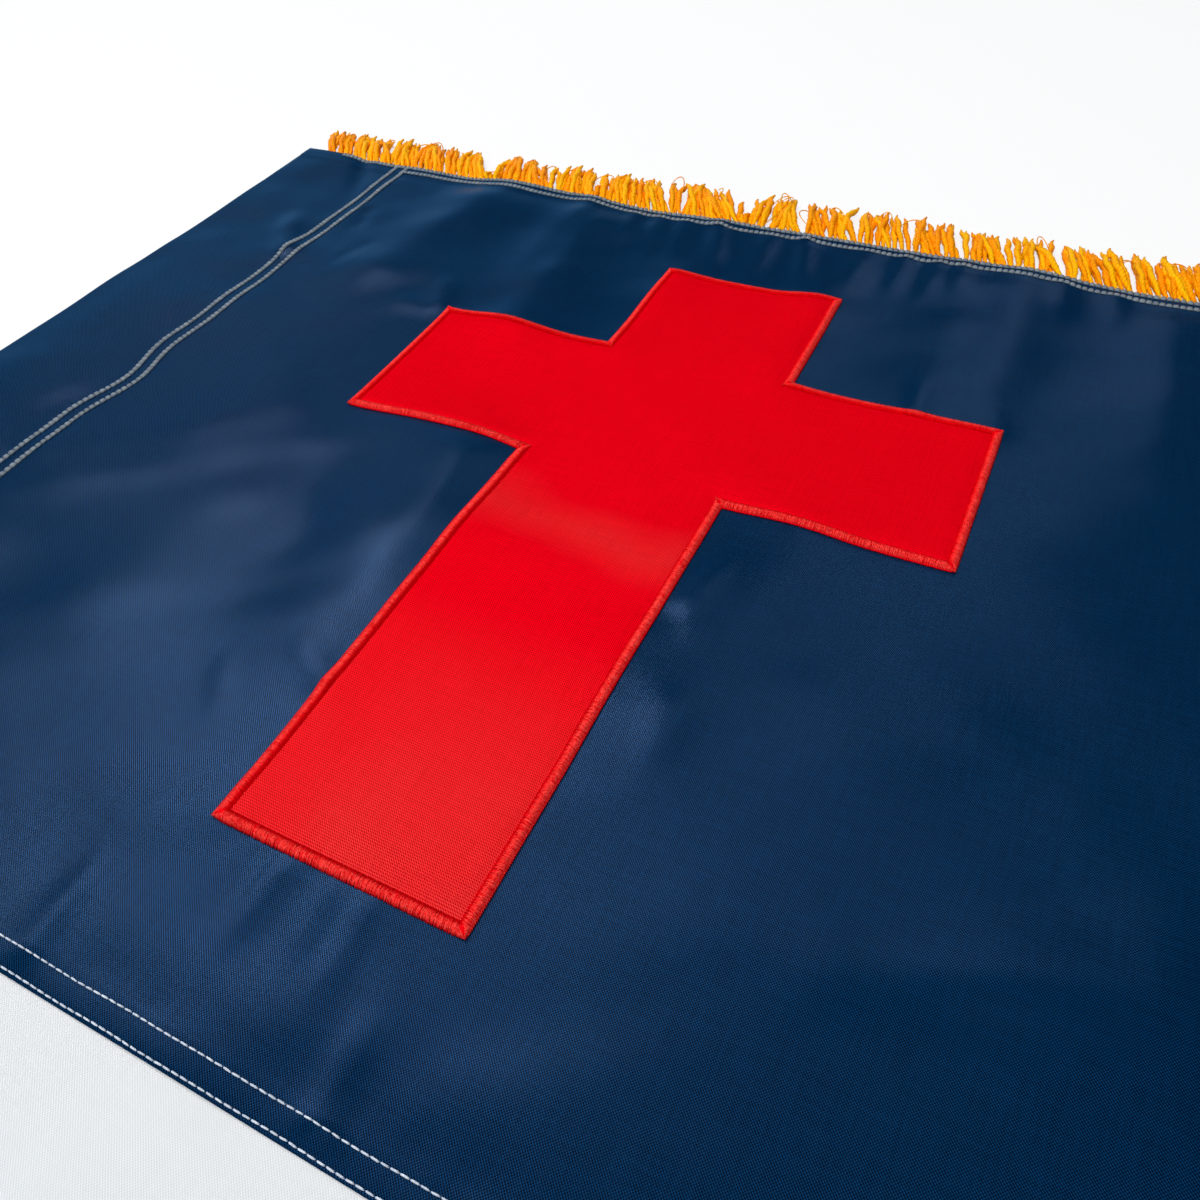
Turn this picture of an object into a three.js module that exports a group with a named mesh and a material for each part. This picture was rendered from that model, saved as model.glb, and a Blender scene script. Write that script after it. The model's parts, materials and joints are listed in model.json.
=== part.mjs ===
// A Christian flag of heavy nylon, laid out flat on a surface: a white field, a blue canton set into its
// upper hoist corner, a red cross sewn on the canton, a pole sleeve turned under along the hoist, and
// gold fringe along the top, fly and bottom edges.
//
// Lengths are millimetres. A place on the flag is given by two distances: `along` runs from the fold of
// the pole sleeve towards the fly, and `down` runs from the top edge towards the bottom edge.
// In the part's frame +X points to the fly, +Y to the top edge and +Z up from the surface.
import * as THREE from 'three';
import { mergeVertices } from 'three/addons/utils/BufferGeometryUtils.js';

const flagLength = 1524;
const flagHeight = 914;
const cantonLength = 556;
const cantonHeight = 457;
const clothThickness = 1.2;
const pieceGap = 0.3;

const cross = {
  centreAlong: 316,
  centreDown: 168,
  stemWidth: 89,
  armWidth: 84,
  armReach: 132,
  headReach: 113,
  footReach: 228,
  thickness: 1.0,
};

const sleeve = {
  jointAlong: 77,
  rowAlong: 70,
  foldInset: 1.6,
  clearHeight: 6.4,
  clearVariation: 0.4,
  clearWave: 90,
  bulgeStations: [64, 54, 42, 30, 18, 8, 3.5],
  backStations: [30, 50, 61],
  backLiftFrom: 48,
  settleAlong: 125,
};

const fringe = {
  reach: 33,
  unevenness: 2.6,
  lean: 5,
  thickness: 1.6,
  headingDepth: 10,
  bandWidth: 3.2,
  edgeGap: 0.8,
  toothPitch: 30,
  toothWidth: 20,
  headingStep: 120,
  hoistStart: 20,
};

const seamLap = 8;
const seamGap = 0.5;
const hemWidth = 12;
const easeWidth = 36;
const calmWidth = 22;
const calmShare = 0.7;
const fringeLift = fringe.thickness + pieceGap;
const lapLift = clothThickness + pieceGap;

// The main folds of the cloth as it lies, each a soft ridge that sinks on its way from one place to
// another. A place is [along, down]. A width is where that side of the ridge has fallen to a third.
const folds = [
  { from: [152, -6], to: [128, 104], hoistWidth: 26, flyWidth: 36, rise: 6.6 },
  { from: [128, 112], to: [124, 150], hoistWidth: 30, flyWidth: 24, rise: 1.6 },
  { from: [216, 30], to: [220, 124], hoistWidth: 19, flyWidth: 21, rise: 4.6 },
  { from: [278, 54], to: [276, 128], hoistWidth: 15, flyWidth: 15, rise: 2.2 },
  { from: [350, 40], to: [350, 126], hoistWidth: 15, flyWidth: 18, rise: 2.6 },
  { from: [412, 26], to: [412, 126], hoistWidth: 27, flyWidth: 20, rise: 3.2 },
  { from: [436, 8], to: [440, 128], hoistWidth: 17, flyWidth: 18, rise: 3.2 },
  { from: [500, 24], to: [508, 140], hoistWidth: 18, flyWidth: 18, rise: 2.6 },
  { from: [150, 252], to: [60, 286], hoistWidth: 24, flyWidth: 24, rise: 1.4 },
  { from: [254, 222], to: [258, 318], hoistWidth: 40, flyWidth: 22, rise: 5.4 },
  { from: [392, 214], to: [384, 330], hoistWidth: 24, flyWidth: 24, rise: 1.6 },
  { from: [524, 334], to: [452, 360], hoistWidth: 15, flyWidth: 15, rise: 3.0 },
  { from: [430, 274], to: [496, 282], hoistWidth: 22, flyWidth: 22, rise: 2.4 },
  { from: [150, 640], to: [430, 560], hoistWidth: 62, flyWidth: 62, rise: 6.0 },
  { from: [620, 800], to: [900, 690], hoistWidth: 66, flyWidth: 66, rise: 6.5 },
  { from: [700, 90], to: [760, 380], hoistWidth: 60, flyWidth: 60, rise: 6.0 },
  { from: [1010, 150], to: [960, 420], hoistWidth: 64, flyWidth: 64, rise: 5.5 },
  { from: [1290, 230], to: [1340, 620], hoistWidth: 70, flyWidth: 70, rise: 7.0 },
  { from: [1120, 790], to: [1250, 810], hoistWidth: 56, flyWidth: 56, rise: 5.0 },
];
const foldShape = 1.7;
const foldSink = 0.45;
const foldSinkFrom = 0.45;
const foldCutOff = 0.35;

const { clamp } = THREE.MathUtils;
const softStep = (t) => THREE.MathUtils.smoothstep(t, 0, 1);

function foldRise(fold, along, down) {
  const runAlong = fold.to[0] - fold.from[0];
  const runDown = fold.to[1] - fold.from[1];
  const run = Math.hypot(runAlong, runDown);
  const offAlong = along - fold.from[0];
  const offDown = down - fold.from[1];
  const share = clamp((offAlong * runAlong + offDown * runDown) / run ** 2, 0, 1);
  const distance = Math.hypot(offAlong - share * runAlong, offDown - share * runDown);
  const sideways = (offAlong * runDown - offDown * runAlong) * Math.sign(runDown);
  const flywards = distance > 0 ? 0.5 + sideways / (2 * run * distance) : 0.5;
  const halfWidth = fold.hoistWidth + (fold.flyWidth - fold.hoistWidth) * flywards;
  const height = fold.rise * (1 - foldSink * softStep((share - foldSinkFrom) / (1 - foldSinkFrom)));
  return height * Math.exp(-((distance / halfWidth) ** foldShape));
}

// Distances inwards from the fringed edges and from the two seams of the canton.
function edgeDistance(along, down) {
  return Math.min(down, flagHeight - down, flagLength - along);
}

function seamDistance(along, down) {
  if (along <= cantonLength && down <= cantonHeight) {
    return Math.min(cantonLength - along, cantonHeight - down);
  }
  return Math.hypot(Math.max(along - cantonLength, 0), Math.max(down - cantonHeight, 0));
}

// The stitching of the hems and seams draws the folds flatter, and a fold that is lower than foldCutOff
// lies on the surface.
function relief(along, down) {
  const fromHem = Math.min(edgeDistance(along, down), seamDistance(along, down));
  const calm = calmShare + (1 - calmShare) * softStep((fromHem - hemWidth / 2) / calmWidth);
  const rise = folds.reduce((sum, fold) => sum + foldRise(fold, along, down), 0);
  return Math.max(0, calm * (rise - foldCutOff));
}

function easedLift(height, distance) {
  return height * (1 - softStep((distance - hemWidth) / easeWidth));
}

function hemLift(along) {
  const width = sleeve.settleAlong - sleeve.jointAlong;
  return clothThickness * (1 - softStep((along - sleeve.jointAlong) / width));
}

// Heights of the cloth's underside. The fringe's heading lies under the hems, the field's edge lies
// under the canton's, and the turned edge of the sleeve lies under its joint.
function fieldUnderside(along, down) {
  return easedLift(fringeLift, edgeDistance(along, down)) + hemLift(along) + relief(along, down);
}

function cantonUnderside(along, down) {
  const lap = easedLift(lapLift, seamDistance(along, down));
  return easedLift(fringeLift, down) + lap + hemLift(along) + relief(along, down);
}

// The outline isn't quite straight: the hoist bows out and the hems wander. `inwards` is how far into
// the flag a wandering edge is felt.
const edgeDrift = {
  hoist: { size: -4, wave: 267, start: 0, inwards: 150 },
  top: { size: 1.3, wave: 83, start: 0.4, inwards: 50 },
  bottom: { size: 3, wave: 170, start: 1.1, inwards: 120 },
  fly: { size: 3, wave: 150, start: 0.5, inwards: 120 },
};

function edgeShift({ size, wave, start, inwards }, alongEdge, fromEdge) {
  return size * Math.sin(alongEdge / wave + start) * (1 - softStep(fromEdge / inwards));
}

function drift(along, down) {
  return {
    along: edgeShift(edgeDrift.hoist, down, along) + edgeShift(edgeDrift.fly, down, flagLength - along),
    down: edgeShift(edgeDrift.top, along, down) + edgeShift(edgeDrift.bottom, along, flagHeight - down),
  };
}

function place(along, down, height) {
  const shift = drift(along, down);
  return new THREE.Vector3(along + shift.along, -down - shift.down, height);
}

// Evenly divided stations between the given marks, none further apart than the step.
function stations(marks, step) {
  const result = [marks[0]];
  for (let i = 1; i < marks.length; i += 1) {
    const span = marks[i] - marks[i - 1];
    const count = Math.max(1, Math.round(span / step));
    for (let k = 1; k <= count; k += 1) {
      result.push(marks[i - 1] + (span * k) / count);
    }
  }
  return result;
}

class Skin {
  constructor() {
    this.positions = [];
  }

  triangle(a, b, c) {
    for (const corner of [a, b, c]) {
      this.positions.push(corner.x, corner.y, corner.z);
    }
  }

  quad(a, b, c, d) {
    this.triangle(a, b, c);
    this.triangle(a, c, d);
  }

  geometry() {
    const loose = new THREE.BufferGeometry();
    loose.setAttribute('position', new THREE.Float32BufferAttribute(this.positions, 3));
    const merged = mergeVertices(loose, 1e-4);
    merged.computeVertexNormals();
    return merged;
  }
}

// A sheet on a grid of stations. `covers` says which cells are cloth; `underside` gives its height.
// Walls close every cell side that has no cloth beside it, apart from those that a sleeve takes over.
function addSheet(skin, { alongs, downs, covers, underside, thickness, openHoistFrom = Infinity }) {
  const corner = (i, j, height) => place(alongs[i], downs[j], underside(alongs[i], downs[j]) + height);
  const top = alongs.map((_, i) => downs.map((__, j) => corner(i, j, thickness)));
  const low = alongs.map((_, i) => downs.map((__, j) => corner(i, j, 0)));
  const isCloth = (i, j) => {
    if (i < 0 || j < 0 || i >= alongs.length - 1 || j >= downs.length - 1) {
      return false;
    }
    return covers((alongs[i] + alongs[i + 1]) / 2, (downs[j] + downs[j + 1]) / 2);
  };
  for (let i = 0; i < alongs.length - 1; i += 1) {
    for (let j = 0; j < downs.length - 1; j += 1) {
      if (!isCloth(i, j)) {
        continue;
      }
      skin.quad(top[i][j + 1], top[i + 1][j + 1], top[i + 1][j], top[i][j]);
      skin.quad(low[i + 1][j], low[i + 1][j + 1], low[i][j + 1], low[i][j]);
      const sleeveSide = i === 0 && downs[j] >= openHoistFrom;
      if (!isCloth(i - 1, j) && !sleeveSide) {
        skin.quad(top[i][j], low[i][j], low[i][j + 1], top[i][j + 1]);
      }
      if (!isCloth(i + 1, j)) {
        skin.quad(top[i + 1][j + 1], low[i + 1][j + 1], low[i + 1][j], top[i + 1][j]);
      }
      if (!isCloth(i, j - 1)) {
        skin.quad(top[i + 1][j], low[i + 1][j], low[i][j], top[i][j]);
      }
      if (!isCloth(i, j + 1)) {
        skin.quad(top[i][j + 1], low[i][j + 1], low[i + 1][j + 1], top[i + 1][j + 1]);
      }
    }
  }
}

// The pole sleeve: the cloth goes on past the joint, over the hollow to the fold at the hoist, and back
// under to the joint, where its turned edge is sewn down. Open at both ends.
function addSleeve(skin, { downs, underside, thickness }) {
  const { jointAlong, rowAlong, foldInset, bulgeStations, backStations, backLiftFrom } = sleeve;
  const hollow = (along, down) => {
    const share = (along - foldInset) / (rowAlong - foldInset);
    const height = sleeve.clearHeight + sleeve.clearVariation * Math.sin(down / sleeve.clearWave);
    return height * Math.sqrt(Math.sin(Math.PI * clamp(share, 0, 1)));
  };
  const backLift = (along) => softStep((along - backLiftFrom) / (rowAlong - backLiftFrom));
  const backLow = (along, down) => relief(jointAlong, down) * backLift(along);
  const backTop = (along, down) => backLow(along, down) + thickness;
  const hollowTop = (along, down) => backTop(along, down) + hollow(along, down);
  const outerPath = (down) => [
    place(jointAlong, down, underside(jointAlong, down) + thickness),
    place(rowAlong, down, backTop(rowAlong, down) + thickness),
    ...bulgeStations.map((along) => place(along, down, hollowTop(along, down) + thickness)),
    place(foldInset / 3, down, 2 * thickness),
    place(0, down, thickness),
    place(foldInset / 3, down, 0),
    ...backStations.map((along) => place(along, down, backLow(along, down))),
    place(jointAlong, down, backLow(jointAlong, down)),
    place(jointAlong, down, underside(jointAlong, down)),
  ];
  const innerPath = (down) => [
    place(rowAlong, down, backTop(rowAlong, down)),
    ...bulgeStations.map((along) => place(along, down, hollowTop(along, down))),
    place(foldInset, down, backTop(foldInset, down)),
    ...backStations.map((along) => place(along, down, backTop(along, down))),
  ];
  const outer = downs.map(outerPath);
  const inner = downs.map(innerPath);
  for (let j = 0; j < downs.length - 1; j += 1) {
    for (let k = 0; k < outer[j].length - 1; k += 1) {
      skin.quad(outer[j + 1][k + 1], outer[j + 1][k], outer[j][k], outer[j][k + 1]);
    }
    for (let k = 0; k < inner[j].length; k += 1) {
      const next = (k + 1) % inner[j].length;
      skin.quad(inner[j + 1][k], inner[j + 1][next], inner[j][next], inner[j][k]);
    }
  }
  // Each mouth is a ring of triangles between the outer path and the point of the inner one beside it.
  const atFold = bulgeStations.length + 1;
  const innerBeside = [
    0,
    0,
    ...bulgeStations.map((_, k) => k + 1),
    atFold,
    atFold,
    atFold,
    ...backStations.map((_, k) => atFold + 1 + k),
    0,
    0,
  ];
  const addMouth = (station, facesTop) => {
    const add = (a, b, c) => (facesTop ? skin.triangle(a, c, b) : skin.triangle(a, b, c));
    for (let k = 0; k < innerBeside.length; k += 1) {
      const next = (k + 1) % innerBeside.length;
      const here = inner[station][innerBeside[k]];
      const there = inner[station][innerBeside[next]];
      add(outer[station][k], outer[station][next], there);
      if (here !== there) {
        add(outer[station][k], there, here);
      }
    }
  };
  addMouth(0, true);
  addMouth(downs.length - 1, false);
}

function insideCross(along, down) {
  const across = Math.abs(along - cross.centreAlong);
  const below = down - cross.centreDown;
  const inStem = across < cross.stemWidth / 2 && below > -cross.headReach && below < cross.footReach;
  const inArms = across < cross.armReach && Math.abs(below) < cross.armWidth / 2;
  return inStem || inArms;
}

const crossAlongs = [
  cross.centreAlong - cross.armReach,
  cross.centreAlong - cross.stemWidth / 2,
  cross.centreAlong + cross.stemWidth / 2,
  cross.centreAlong + cross.armReach,
];
const crossDowns = [
  cross.centreDown - cross.headReach,
  cross.centreDown - cross.armWidth / 2,
  cross.centreDown + cross.armWidth / 2,
  cross.centreDown + cross.footReach,
];
const cantonStep = 19;
const fieldStep = 60;
const easedIn = hemWidth + easeWidth;

const cantonAlongs = stations([
  sleeve.jointAlong,
  sleeve.settleAlong,
  ...crossAlongs,
  cantonLength - easedIn,
  cantonLength - hemWidth,
  cantonLength,
], cantonStep);
const cantonDowns = stations([
  0,
  hemWidth,
  easedIn,
  ...crossDowns,
  cantonHeight - easedIn,
  cantonHeight - hemWidth,
  cantonHeight,
], cantonStep);

function makeCanton() {
  const skin = new Skin();
  addSheet(skin, {
    alongs: cantonAlongs,
    downs: cantonDowns,
    covers: () => true,
    underside: cantonUnderside,
    thickness: clothThickness,
    openHoistFrom: 0,
  });
  addSleeve(skin, { downs: cantonDowns, underside: cantonUnderside, thickness: clothThickness });
  return skin.geometry();
}

// The field is one L-shaped panel. Its inner edges go a lap's width under the canton.
function makeField() {
  const seamDown = cantonHeight + seamGap;
  const alongs = stations([
    sleeve.jointAlong,
    sleeve.settleAlong,
    cantonLength - seamLap,
    cantonLength + hemWidth,
    flagLength - easedIn,
    flagLength - hemWidth,
    flagLength,
  ], fieldStep);
  const downs = stations([
    0,
    hemWidth,
    easedIn,
    cantonHeight - seamLap,
    seamDown,
    cantonHeight + hemWidth,
    flagHeight - easedIn,
    flagHeight - hemWidth,
    flagHeight,
  ], fieldStep);
  const covers = (along, down) => {
    const rightOfCanton = along > cantonLength - seamLap;
    const underCanton = down > cantonHeight - seamLap && along > sleeve.settleAlong;
    return rightOfCanton || underCanton || down > seamDown;
  };
  const skin = new Skin();
  const sleeveDowns = downs.filter((down) => down >= seamDown);
  addSheet(skin, {
    alongs,
    downs,
    covers,
    underside: fieldUnderside,
    thickness: clothThickness,
    openHoistFrom: seamDown,
  });
  addSleeve(skin, { downs: sleeveDowns, underside: fieldUnderside, thickness: clothThickness });
  return skin.geometry();
}

// The cross lies on the canton, on the same stations, so it follows every fold at an even gap.
function makeCross() {
  const skin = new Skin();
  addSheet(skin, {
    alongs: cantonAlongs.filter((along) => along >= crossAlongs[0] && along <= crossAlongs[3]),
    downs: cantonDowns.filter((down) => down >= crossDowns[0] && down <= crossDowns[3]),
    covers: insideCross,
    underside: (along, down) => cantonUnderside(along, down) + clothThickness + pieceGap,
    thickness: cross.thickness,
  });
  return skin.geometry();
}

// One comb of fringe: a heading under the hem, a band just outside the cloth's edge, and teeth that
// stand for the cords. `toFlag` turns a distance along the edge and one outwards into a place.
function makeComb({ headingFrom, headingTo, bandFrom, bandTo, toFlag, phase }) {
  const { reach, unevenness, lean, toothPitch, toothWidth, edgeGap, bandWidth, headingDepth } = fringe;
  const points = [];
  const add = (distance, outward) => {
    const [along, down] = toFlag(distance, outward);
    const shift = drift(clamp(along, 0, flagLength), clamp(down, 0, flagHeight));
    points.push(new THREE.Vector2(along + shift.along, -down - shift.down));
  };
  const bandTop = edgeGap + bandWidth;
  const teeth = Math.floor((bandTo - bandFrom) / toothPitch);
  const pitch = (bandTo - bandFrom - toothWidth) / (teeth - 1);
  for (let i = 0; i < teeth; i += 1) {
    const start = bandFrom + i * pitch;
    const sway = lean * (1 + Math.sin(2 * i + phase)) * 0.5;
    const leftReach = reach - unevenness * Math.sin(2.3 * i + phase) ** 2;
    const rightReach = i === 1 ? reach : reach - unevenness * Math.cos(1.7 * i + phase) ** 2;
    add(start, bandTop);
    add(Math.max(start - sway, bandFrom), leftReach);
    add(start - sway + toothWidth, rightReach);
    add(start + toothWidth, bandTop);
  }
  add(bandTo, edgeGap);
  add(headingTo, edgeGap);
  const headingPieces = Math.ceil((headingTo - headingFrom) / fringe.headingStep);
  for (let i = 0; i <= headingPieces; i += 1) {
    add(headingTo - ((headingTo - headingFrom) * i) / headingPieces, -headingDepth);
  }
  add(headingFrom, edgeGap);
  add(bandFrom, edgeGap);
  const outline = new THREE.Shape(points.filter((p, i) => i === 0 || p.distanceTo(points[i - 1]) > 0.01));
  return new THREE.ExtrudeGeometry(outline, { depth: fringe.thickness, bevelEnabled: false });
}

const headingFrom = sleeve.jointAlong + 4;
const besideHeading = fringe.headingDepth + fringe.edgeGap;

const makeTopFringe = () => makeComb({
  headingFrom,
  headingTo: flagLength - fringe.edgeGap,
  bandFrom: fringe.hoistStart,
  bandTo: flagLength,
  toFlag: (distance, outward) => [distance, -outward],
  phase: 0.4,
});

const makeBottomFringe = () => makeComb({
  headingFrom,
  headingTo: flagLength - fringe.edgeGap,
  bandFrom: fringe.hoistStart,
  bandTo: flagLength,
  toFlag: (distance, outward) => [distance, flagHeight + outward],
  phase: 2.1,
});

const makeFlyFringe = () => makeComb({
  headingFrom: besideHeading,
  headingTo: flagHeight - besideHeading,
  bandFrom: 0,
  bandTo: flagHeight,
  toFlag: (distance, outward) => [flagLength + outward, distance],
  phase: 1.3,
});

const nylonBlue = new THREE.MeshStandardMaterial({ color: '#1f3c66', roughness: 0.55, metalness: 0 });
const nylonWhite = new THREE.MeshStandardMaterial({ color: '#eef0f0', roughness: 0.6, metalness: 0 });
const satinRed = new THREE.MeshStandardMaterial({ color: '#e4141c', roughness: 0.5, metalness: 0 });
const goldThread = new THREE.MeshStandardMaterial({ color: '#f2a21c', roughness: 0.6, metalness: 0 });

const flag = new THREE.Group();

function addPiece(name, geometry, material) {
  const piece = new THREE.Mesh(geometry, material);
  piece.name = name;
  flag.add(piece);
}

addPiece('canton_blue', makeCanton(), nylonBlue);
addPiece('field_white', makeField(), nylonWhite);
addPiece('cross_red', makeCross(), satinRed);
addPiece('fringe_top', makeTopFringe(), goldThread.clone());
addPiece('fringe_fly', makeFlyFringe(), goldThread.clone());
addPiece('fringe_bottom', makeBottomFringe(), goldThread.clone());

// The origin goes to the middle of the whole outline, on the surface that the flag lies on.
const extent = new THREE.Box3().setFromObject(flag);
const middle = extent.getCenter(new THREE.Vector3());
flag.position.set(-middle.x, -middle.y, 0);

export default flag;
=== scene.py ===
import json
import math

import bpy
import numpy as np
from mathutils import Matrix, Vector

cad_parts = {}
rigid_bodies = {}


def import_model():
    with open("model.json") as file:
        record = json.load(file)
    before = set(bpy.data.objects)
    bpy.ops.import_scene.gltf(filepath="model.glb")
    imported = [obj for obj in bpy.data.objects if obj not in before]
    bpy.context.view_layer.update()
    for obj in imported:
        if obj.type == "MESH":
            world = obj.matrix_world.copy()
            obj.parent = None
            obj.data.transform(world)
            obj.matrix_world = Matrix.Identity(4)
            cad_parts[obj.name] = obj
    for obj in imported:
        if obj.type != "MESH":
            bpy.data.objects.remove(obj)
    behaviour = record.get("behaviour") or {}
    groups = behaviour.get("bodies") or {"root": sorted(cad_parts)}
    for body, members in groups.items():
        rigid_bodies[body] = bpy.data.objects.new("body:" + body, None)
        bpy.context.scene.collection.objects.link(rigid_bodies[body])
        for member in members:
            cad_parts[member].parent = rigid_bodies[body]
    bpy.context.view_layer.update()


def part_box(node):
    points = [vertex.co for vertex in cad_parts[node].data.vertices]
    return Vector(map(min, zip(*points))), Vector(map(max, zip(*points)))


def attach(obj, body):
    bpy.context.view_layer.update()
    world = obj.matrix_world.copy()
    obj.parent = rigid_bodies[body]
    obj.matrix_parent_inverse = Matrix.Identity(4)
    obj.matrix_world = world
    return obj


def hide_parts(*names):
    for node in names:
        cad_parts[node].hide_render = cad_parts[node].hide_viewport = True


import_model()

mm = 0.001

# A place on the flag is (along, down), in metres: along from the fold of the pole sleeve towards the
# fly, and down from the top edge. The cross lies square in the frame, so it says where both start.
flag = dict(length=1.524, height=0.914, cantonLength=0.556, cantonHeight=0.457)
cross = dict(
    centreAlong=0.316,
    centreDown=0.168,
    stemWidth=0.089,
    armWidth=0.084,
    armReach=0.132,
    headReach=0.113,
    footReach=0.228,
)
crossLow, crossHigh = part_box("cross_red")
hoistX = crossLow.x - (cross["centreAlong"] - cross["armReach"])
topY = crossHigh.y + (cross["centreDown"] - cross["headReach"])

lay = dict(
    solidThickness=0.0012,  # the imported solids, on whose folds the cloth lies
    hemWidth=0.012,
    easeWidth=0.036,
    calmWidth=0.022,
    calmShare=0.7,  # how much of a fold is left under the hems
    fringeLift=0.0019,  # the hems ride over the fringe's heading
    lapLift=0.0006,  # and the canton's edge over the field's
    looseness=0.0004,
    floorBlend=0.0005,
)

sleeve = dict(
    row=0.070,
    joint=0.077,
    settle=0.125,
    turnedEdge=0.084,
    foldRadius=0.0011,
    fullness=0.0006,
    backLiftFrom=0.048,
    hollowFrom=0.34,  # the share of the way to the row over which the hollow rises
    hollowTo=0.3,     # and the share before the row over which it falls
    sheetFrom=0.0017,
    backFine=0.002,
    backStep=0.006,
    foldSteps=9,
)

cloth = dict(
    thickness=0.00034,
    hemThickness=0.00070,
    hemFold=0.0088,
    hemStep=0.0024,
    edgeTaper=0.45,
)

crossCloth = dict(
    gap=0.0003,
    thickness=0.00045,
    step=0.0021,
    fine=0.0007,
    inset=0.0012,
    fullness=0.0006,  # how far the cloth stands over the place where the border draws it down
    drawnFrom=0.0032,
    drawnTo=0.0068,
    puckersFrom=0.006,
    spread=0.009,    # how far from a mark the mesh stays fine
)

stitchRows = dict(
    hemOuter=0.0018,
    hemInner=0.0073,
    seamOuter=0.0012,
    seamInner=0.0075,
    sleeveOuter=0.0702,
    sleeveInner=0.0774,
    dip=0.00008,
    dipWidth=0.0011,
)

# Main folds, in mm, as soft ridges that sink towards their far end: fromAlong, fromDown, toAlong,
# toDown, halfWidth on the hoist's side, halfWidth on the fly's side, rise
mainFolds = [
    (152, -6, 128, 104, 26, 36, 6.6),
    (128, 112, 124, 150, 30, 24, 1.6),
    (216, 30, 220, 124, 19, 21, 4.6),
    (278, 54, 276, 128, 15, 15, 2.2),
    (350, 40, 350, 126, 15, 18, 2.6),
    (412, 26, 412, 126, 27, 20, 3.2),
    (436, 8, 440, 128, 17, 18, 3.2),
    (500, 24, 508, 140, 18, 18, 2.6),
    (150, 252, 60, 286, 24, 24, 1.4),
    (254, 222, 258, 318, 40, 22, 5.4),
    (392, 214, 384, 330, 24, 24, 1.6),
    (524, 334, 452, 360, 15, 15, 3.0),
    (430, 274, 496, 282, 22, 22, 2.4),
    (150, 640, 430, 560, 62, 62, 6.0),
    (620, 800, 900, 690, 66, 66, 6.5),
    (700, 90, 760, 380, 60, 60, 6.0),
    (1010, 150, 960, 420, 64, 64, 5.5),
    (1290, 230, 1340, 620, 70, 70, 7.0),
    (1120, 790, 1250, 810, 56, 56, 5.0),
]

# Smaller creases, with the same half width on both sides. A trough has a negative rise.
smallCreases = [
    (46, 2, 68, 50, 6, -1.8),
    (69, 108, 42, 66, 7, 2.4),
    (85, 56, 93, 80, 4, -1.1),
    (109, 90, 103, 120, 3.5, -0.6),
    (178, 124, 166, 98, 7, 1.4),
    (176, 131, 146, 127, 6.5, 0.9),
    (197, 34, 200, 108, 12, 1.2),
    (203, 262, 207, 312, 20, -1.2),
    (203, 6, 205, 30, 7.5, 1.7),
    (232, 10, 238, 46, 4, 0.9),
    (246, 10, 255, 48, 4.5, 1.1),
    (261, 10, 268, 48, 4.5, 1.1),
    (279, 6, 294, 54, 4.5, 1.8),
    (309, 14, 311, 52, 6, 1.4),
    (327, 8, 340, 54, 4.5, 1.8),
    (359, 14, 361, 54, 6, 1.3),
    (379, 8, 379, 44, 4, 1.3),
    (395, 8, 394, 44, 4, 1.2),
    (406, 6, 407, 34, 4.5, 1.2),
    (452, 8, 456, 40, 5, 1.1),
    (476, 10, 479, 36, 5, 1.1),
    (413, 124, 410, 96, 4, 1.0),
    (446, 124, 437, 106, 4, 0.8),
    (271, 341, 246, 326, 4.5, 1.1),
    (234, 350, 250, 370, 3, 0.7),
    (367, 262, 375, 228, 4, 1.2),
    (371, 262, 378, 280, 3.5, 0.8),
    (381, 306, 385, 330, 8, 1.2),
    (301, 400, 301, 430, 4, 1.2),
    (318, 400, 320, 424, 3.5, 0.8),
    (330, 400, 334, 430, 4, 1.2),
    (352, 448, 348, 418, 5, 1.4),
    (252, 448, 249, 412, 5, 1.2),
]

# Slow swells under everything: wave, heading in radians, size
slowWaves = [
    (0.083, 0.3, 0.00030),
    (0.061, 1.4, 0.00024),
    (0.047, 2.2, 0.00016),
    (0.118, 2.9, 0.00040),
    (0.140, 1.9, 0.00040),
    (0.034, 0.9, 0.00009),
]

# Where the cloth has crept sideways at the sleeve's rows: down, half length, size
sleeveCreep = [
    (0.232, 0.017, 0.0042),
    (0.205, 0.014, -0.0012),
    (0.262, 0.012, -0.0014),
    (0.120, 0.045, -0.0008),
    (0.350, 0.030, 0.0012),
    (0.610, 0.040, 0.0015),
    (0.790, 0.035, -0.0014),
]
creepReach = 0.045

# The outline wanders a little: size, wave, start, and how far into the flag it is felt
edgeDrift = dict(
    hoist=(-0.004, 0.267, 0.0, 0.150),
    top=(0.0013, 0.083, 0.4, 0.050),
    bottom=(0.003, 0.170, 1.1, 0.120),
    fly=(0.003, 0.150, 0.5, 0.120),
)


folding = dict(
    sinkFrom=0.45,     # the share of a fold's length after which it sinks
    mainSink=0.45,     # and how much of it is gone at the end
    creaseSink=0.9,
    sharpness=1.7,
    ground=0.00035,    # the cloth between the main folds lies this much lower
    swellAtHem=0.3,
    swellApart=1.7,    # where one slow wave starts after the next
    swellBend=0.8,     # and how its line bends
    swellSlow=0.37,
)

puckering = dict(
    stray=0.22,        # how far a pucker turns out of line
    # least and most, as shares of what is asked for
    lengths=(0.35, 1.5),
    widths=(0.6, 1.5),
    rises=(-0.8, 1.0),
    gaps=(0.5, 1.7),
    rampUp=0.16,
    fade=1.6,
    feltTo=4,          # half widths past its end, and no further
)


def unit(vectors):
    return vectors / np.linalg.norm(vectors, axis=-1, keepdims=True)


def softStep(value):
    t = np.clip(value, 0, 1)
    return t * t * (3 - 2 * t)


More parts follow.
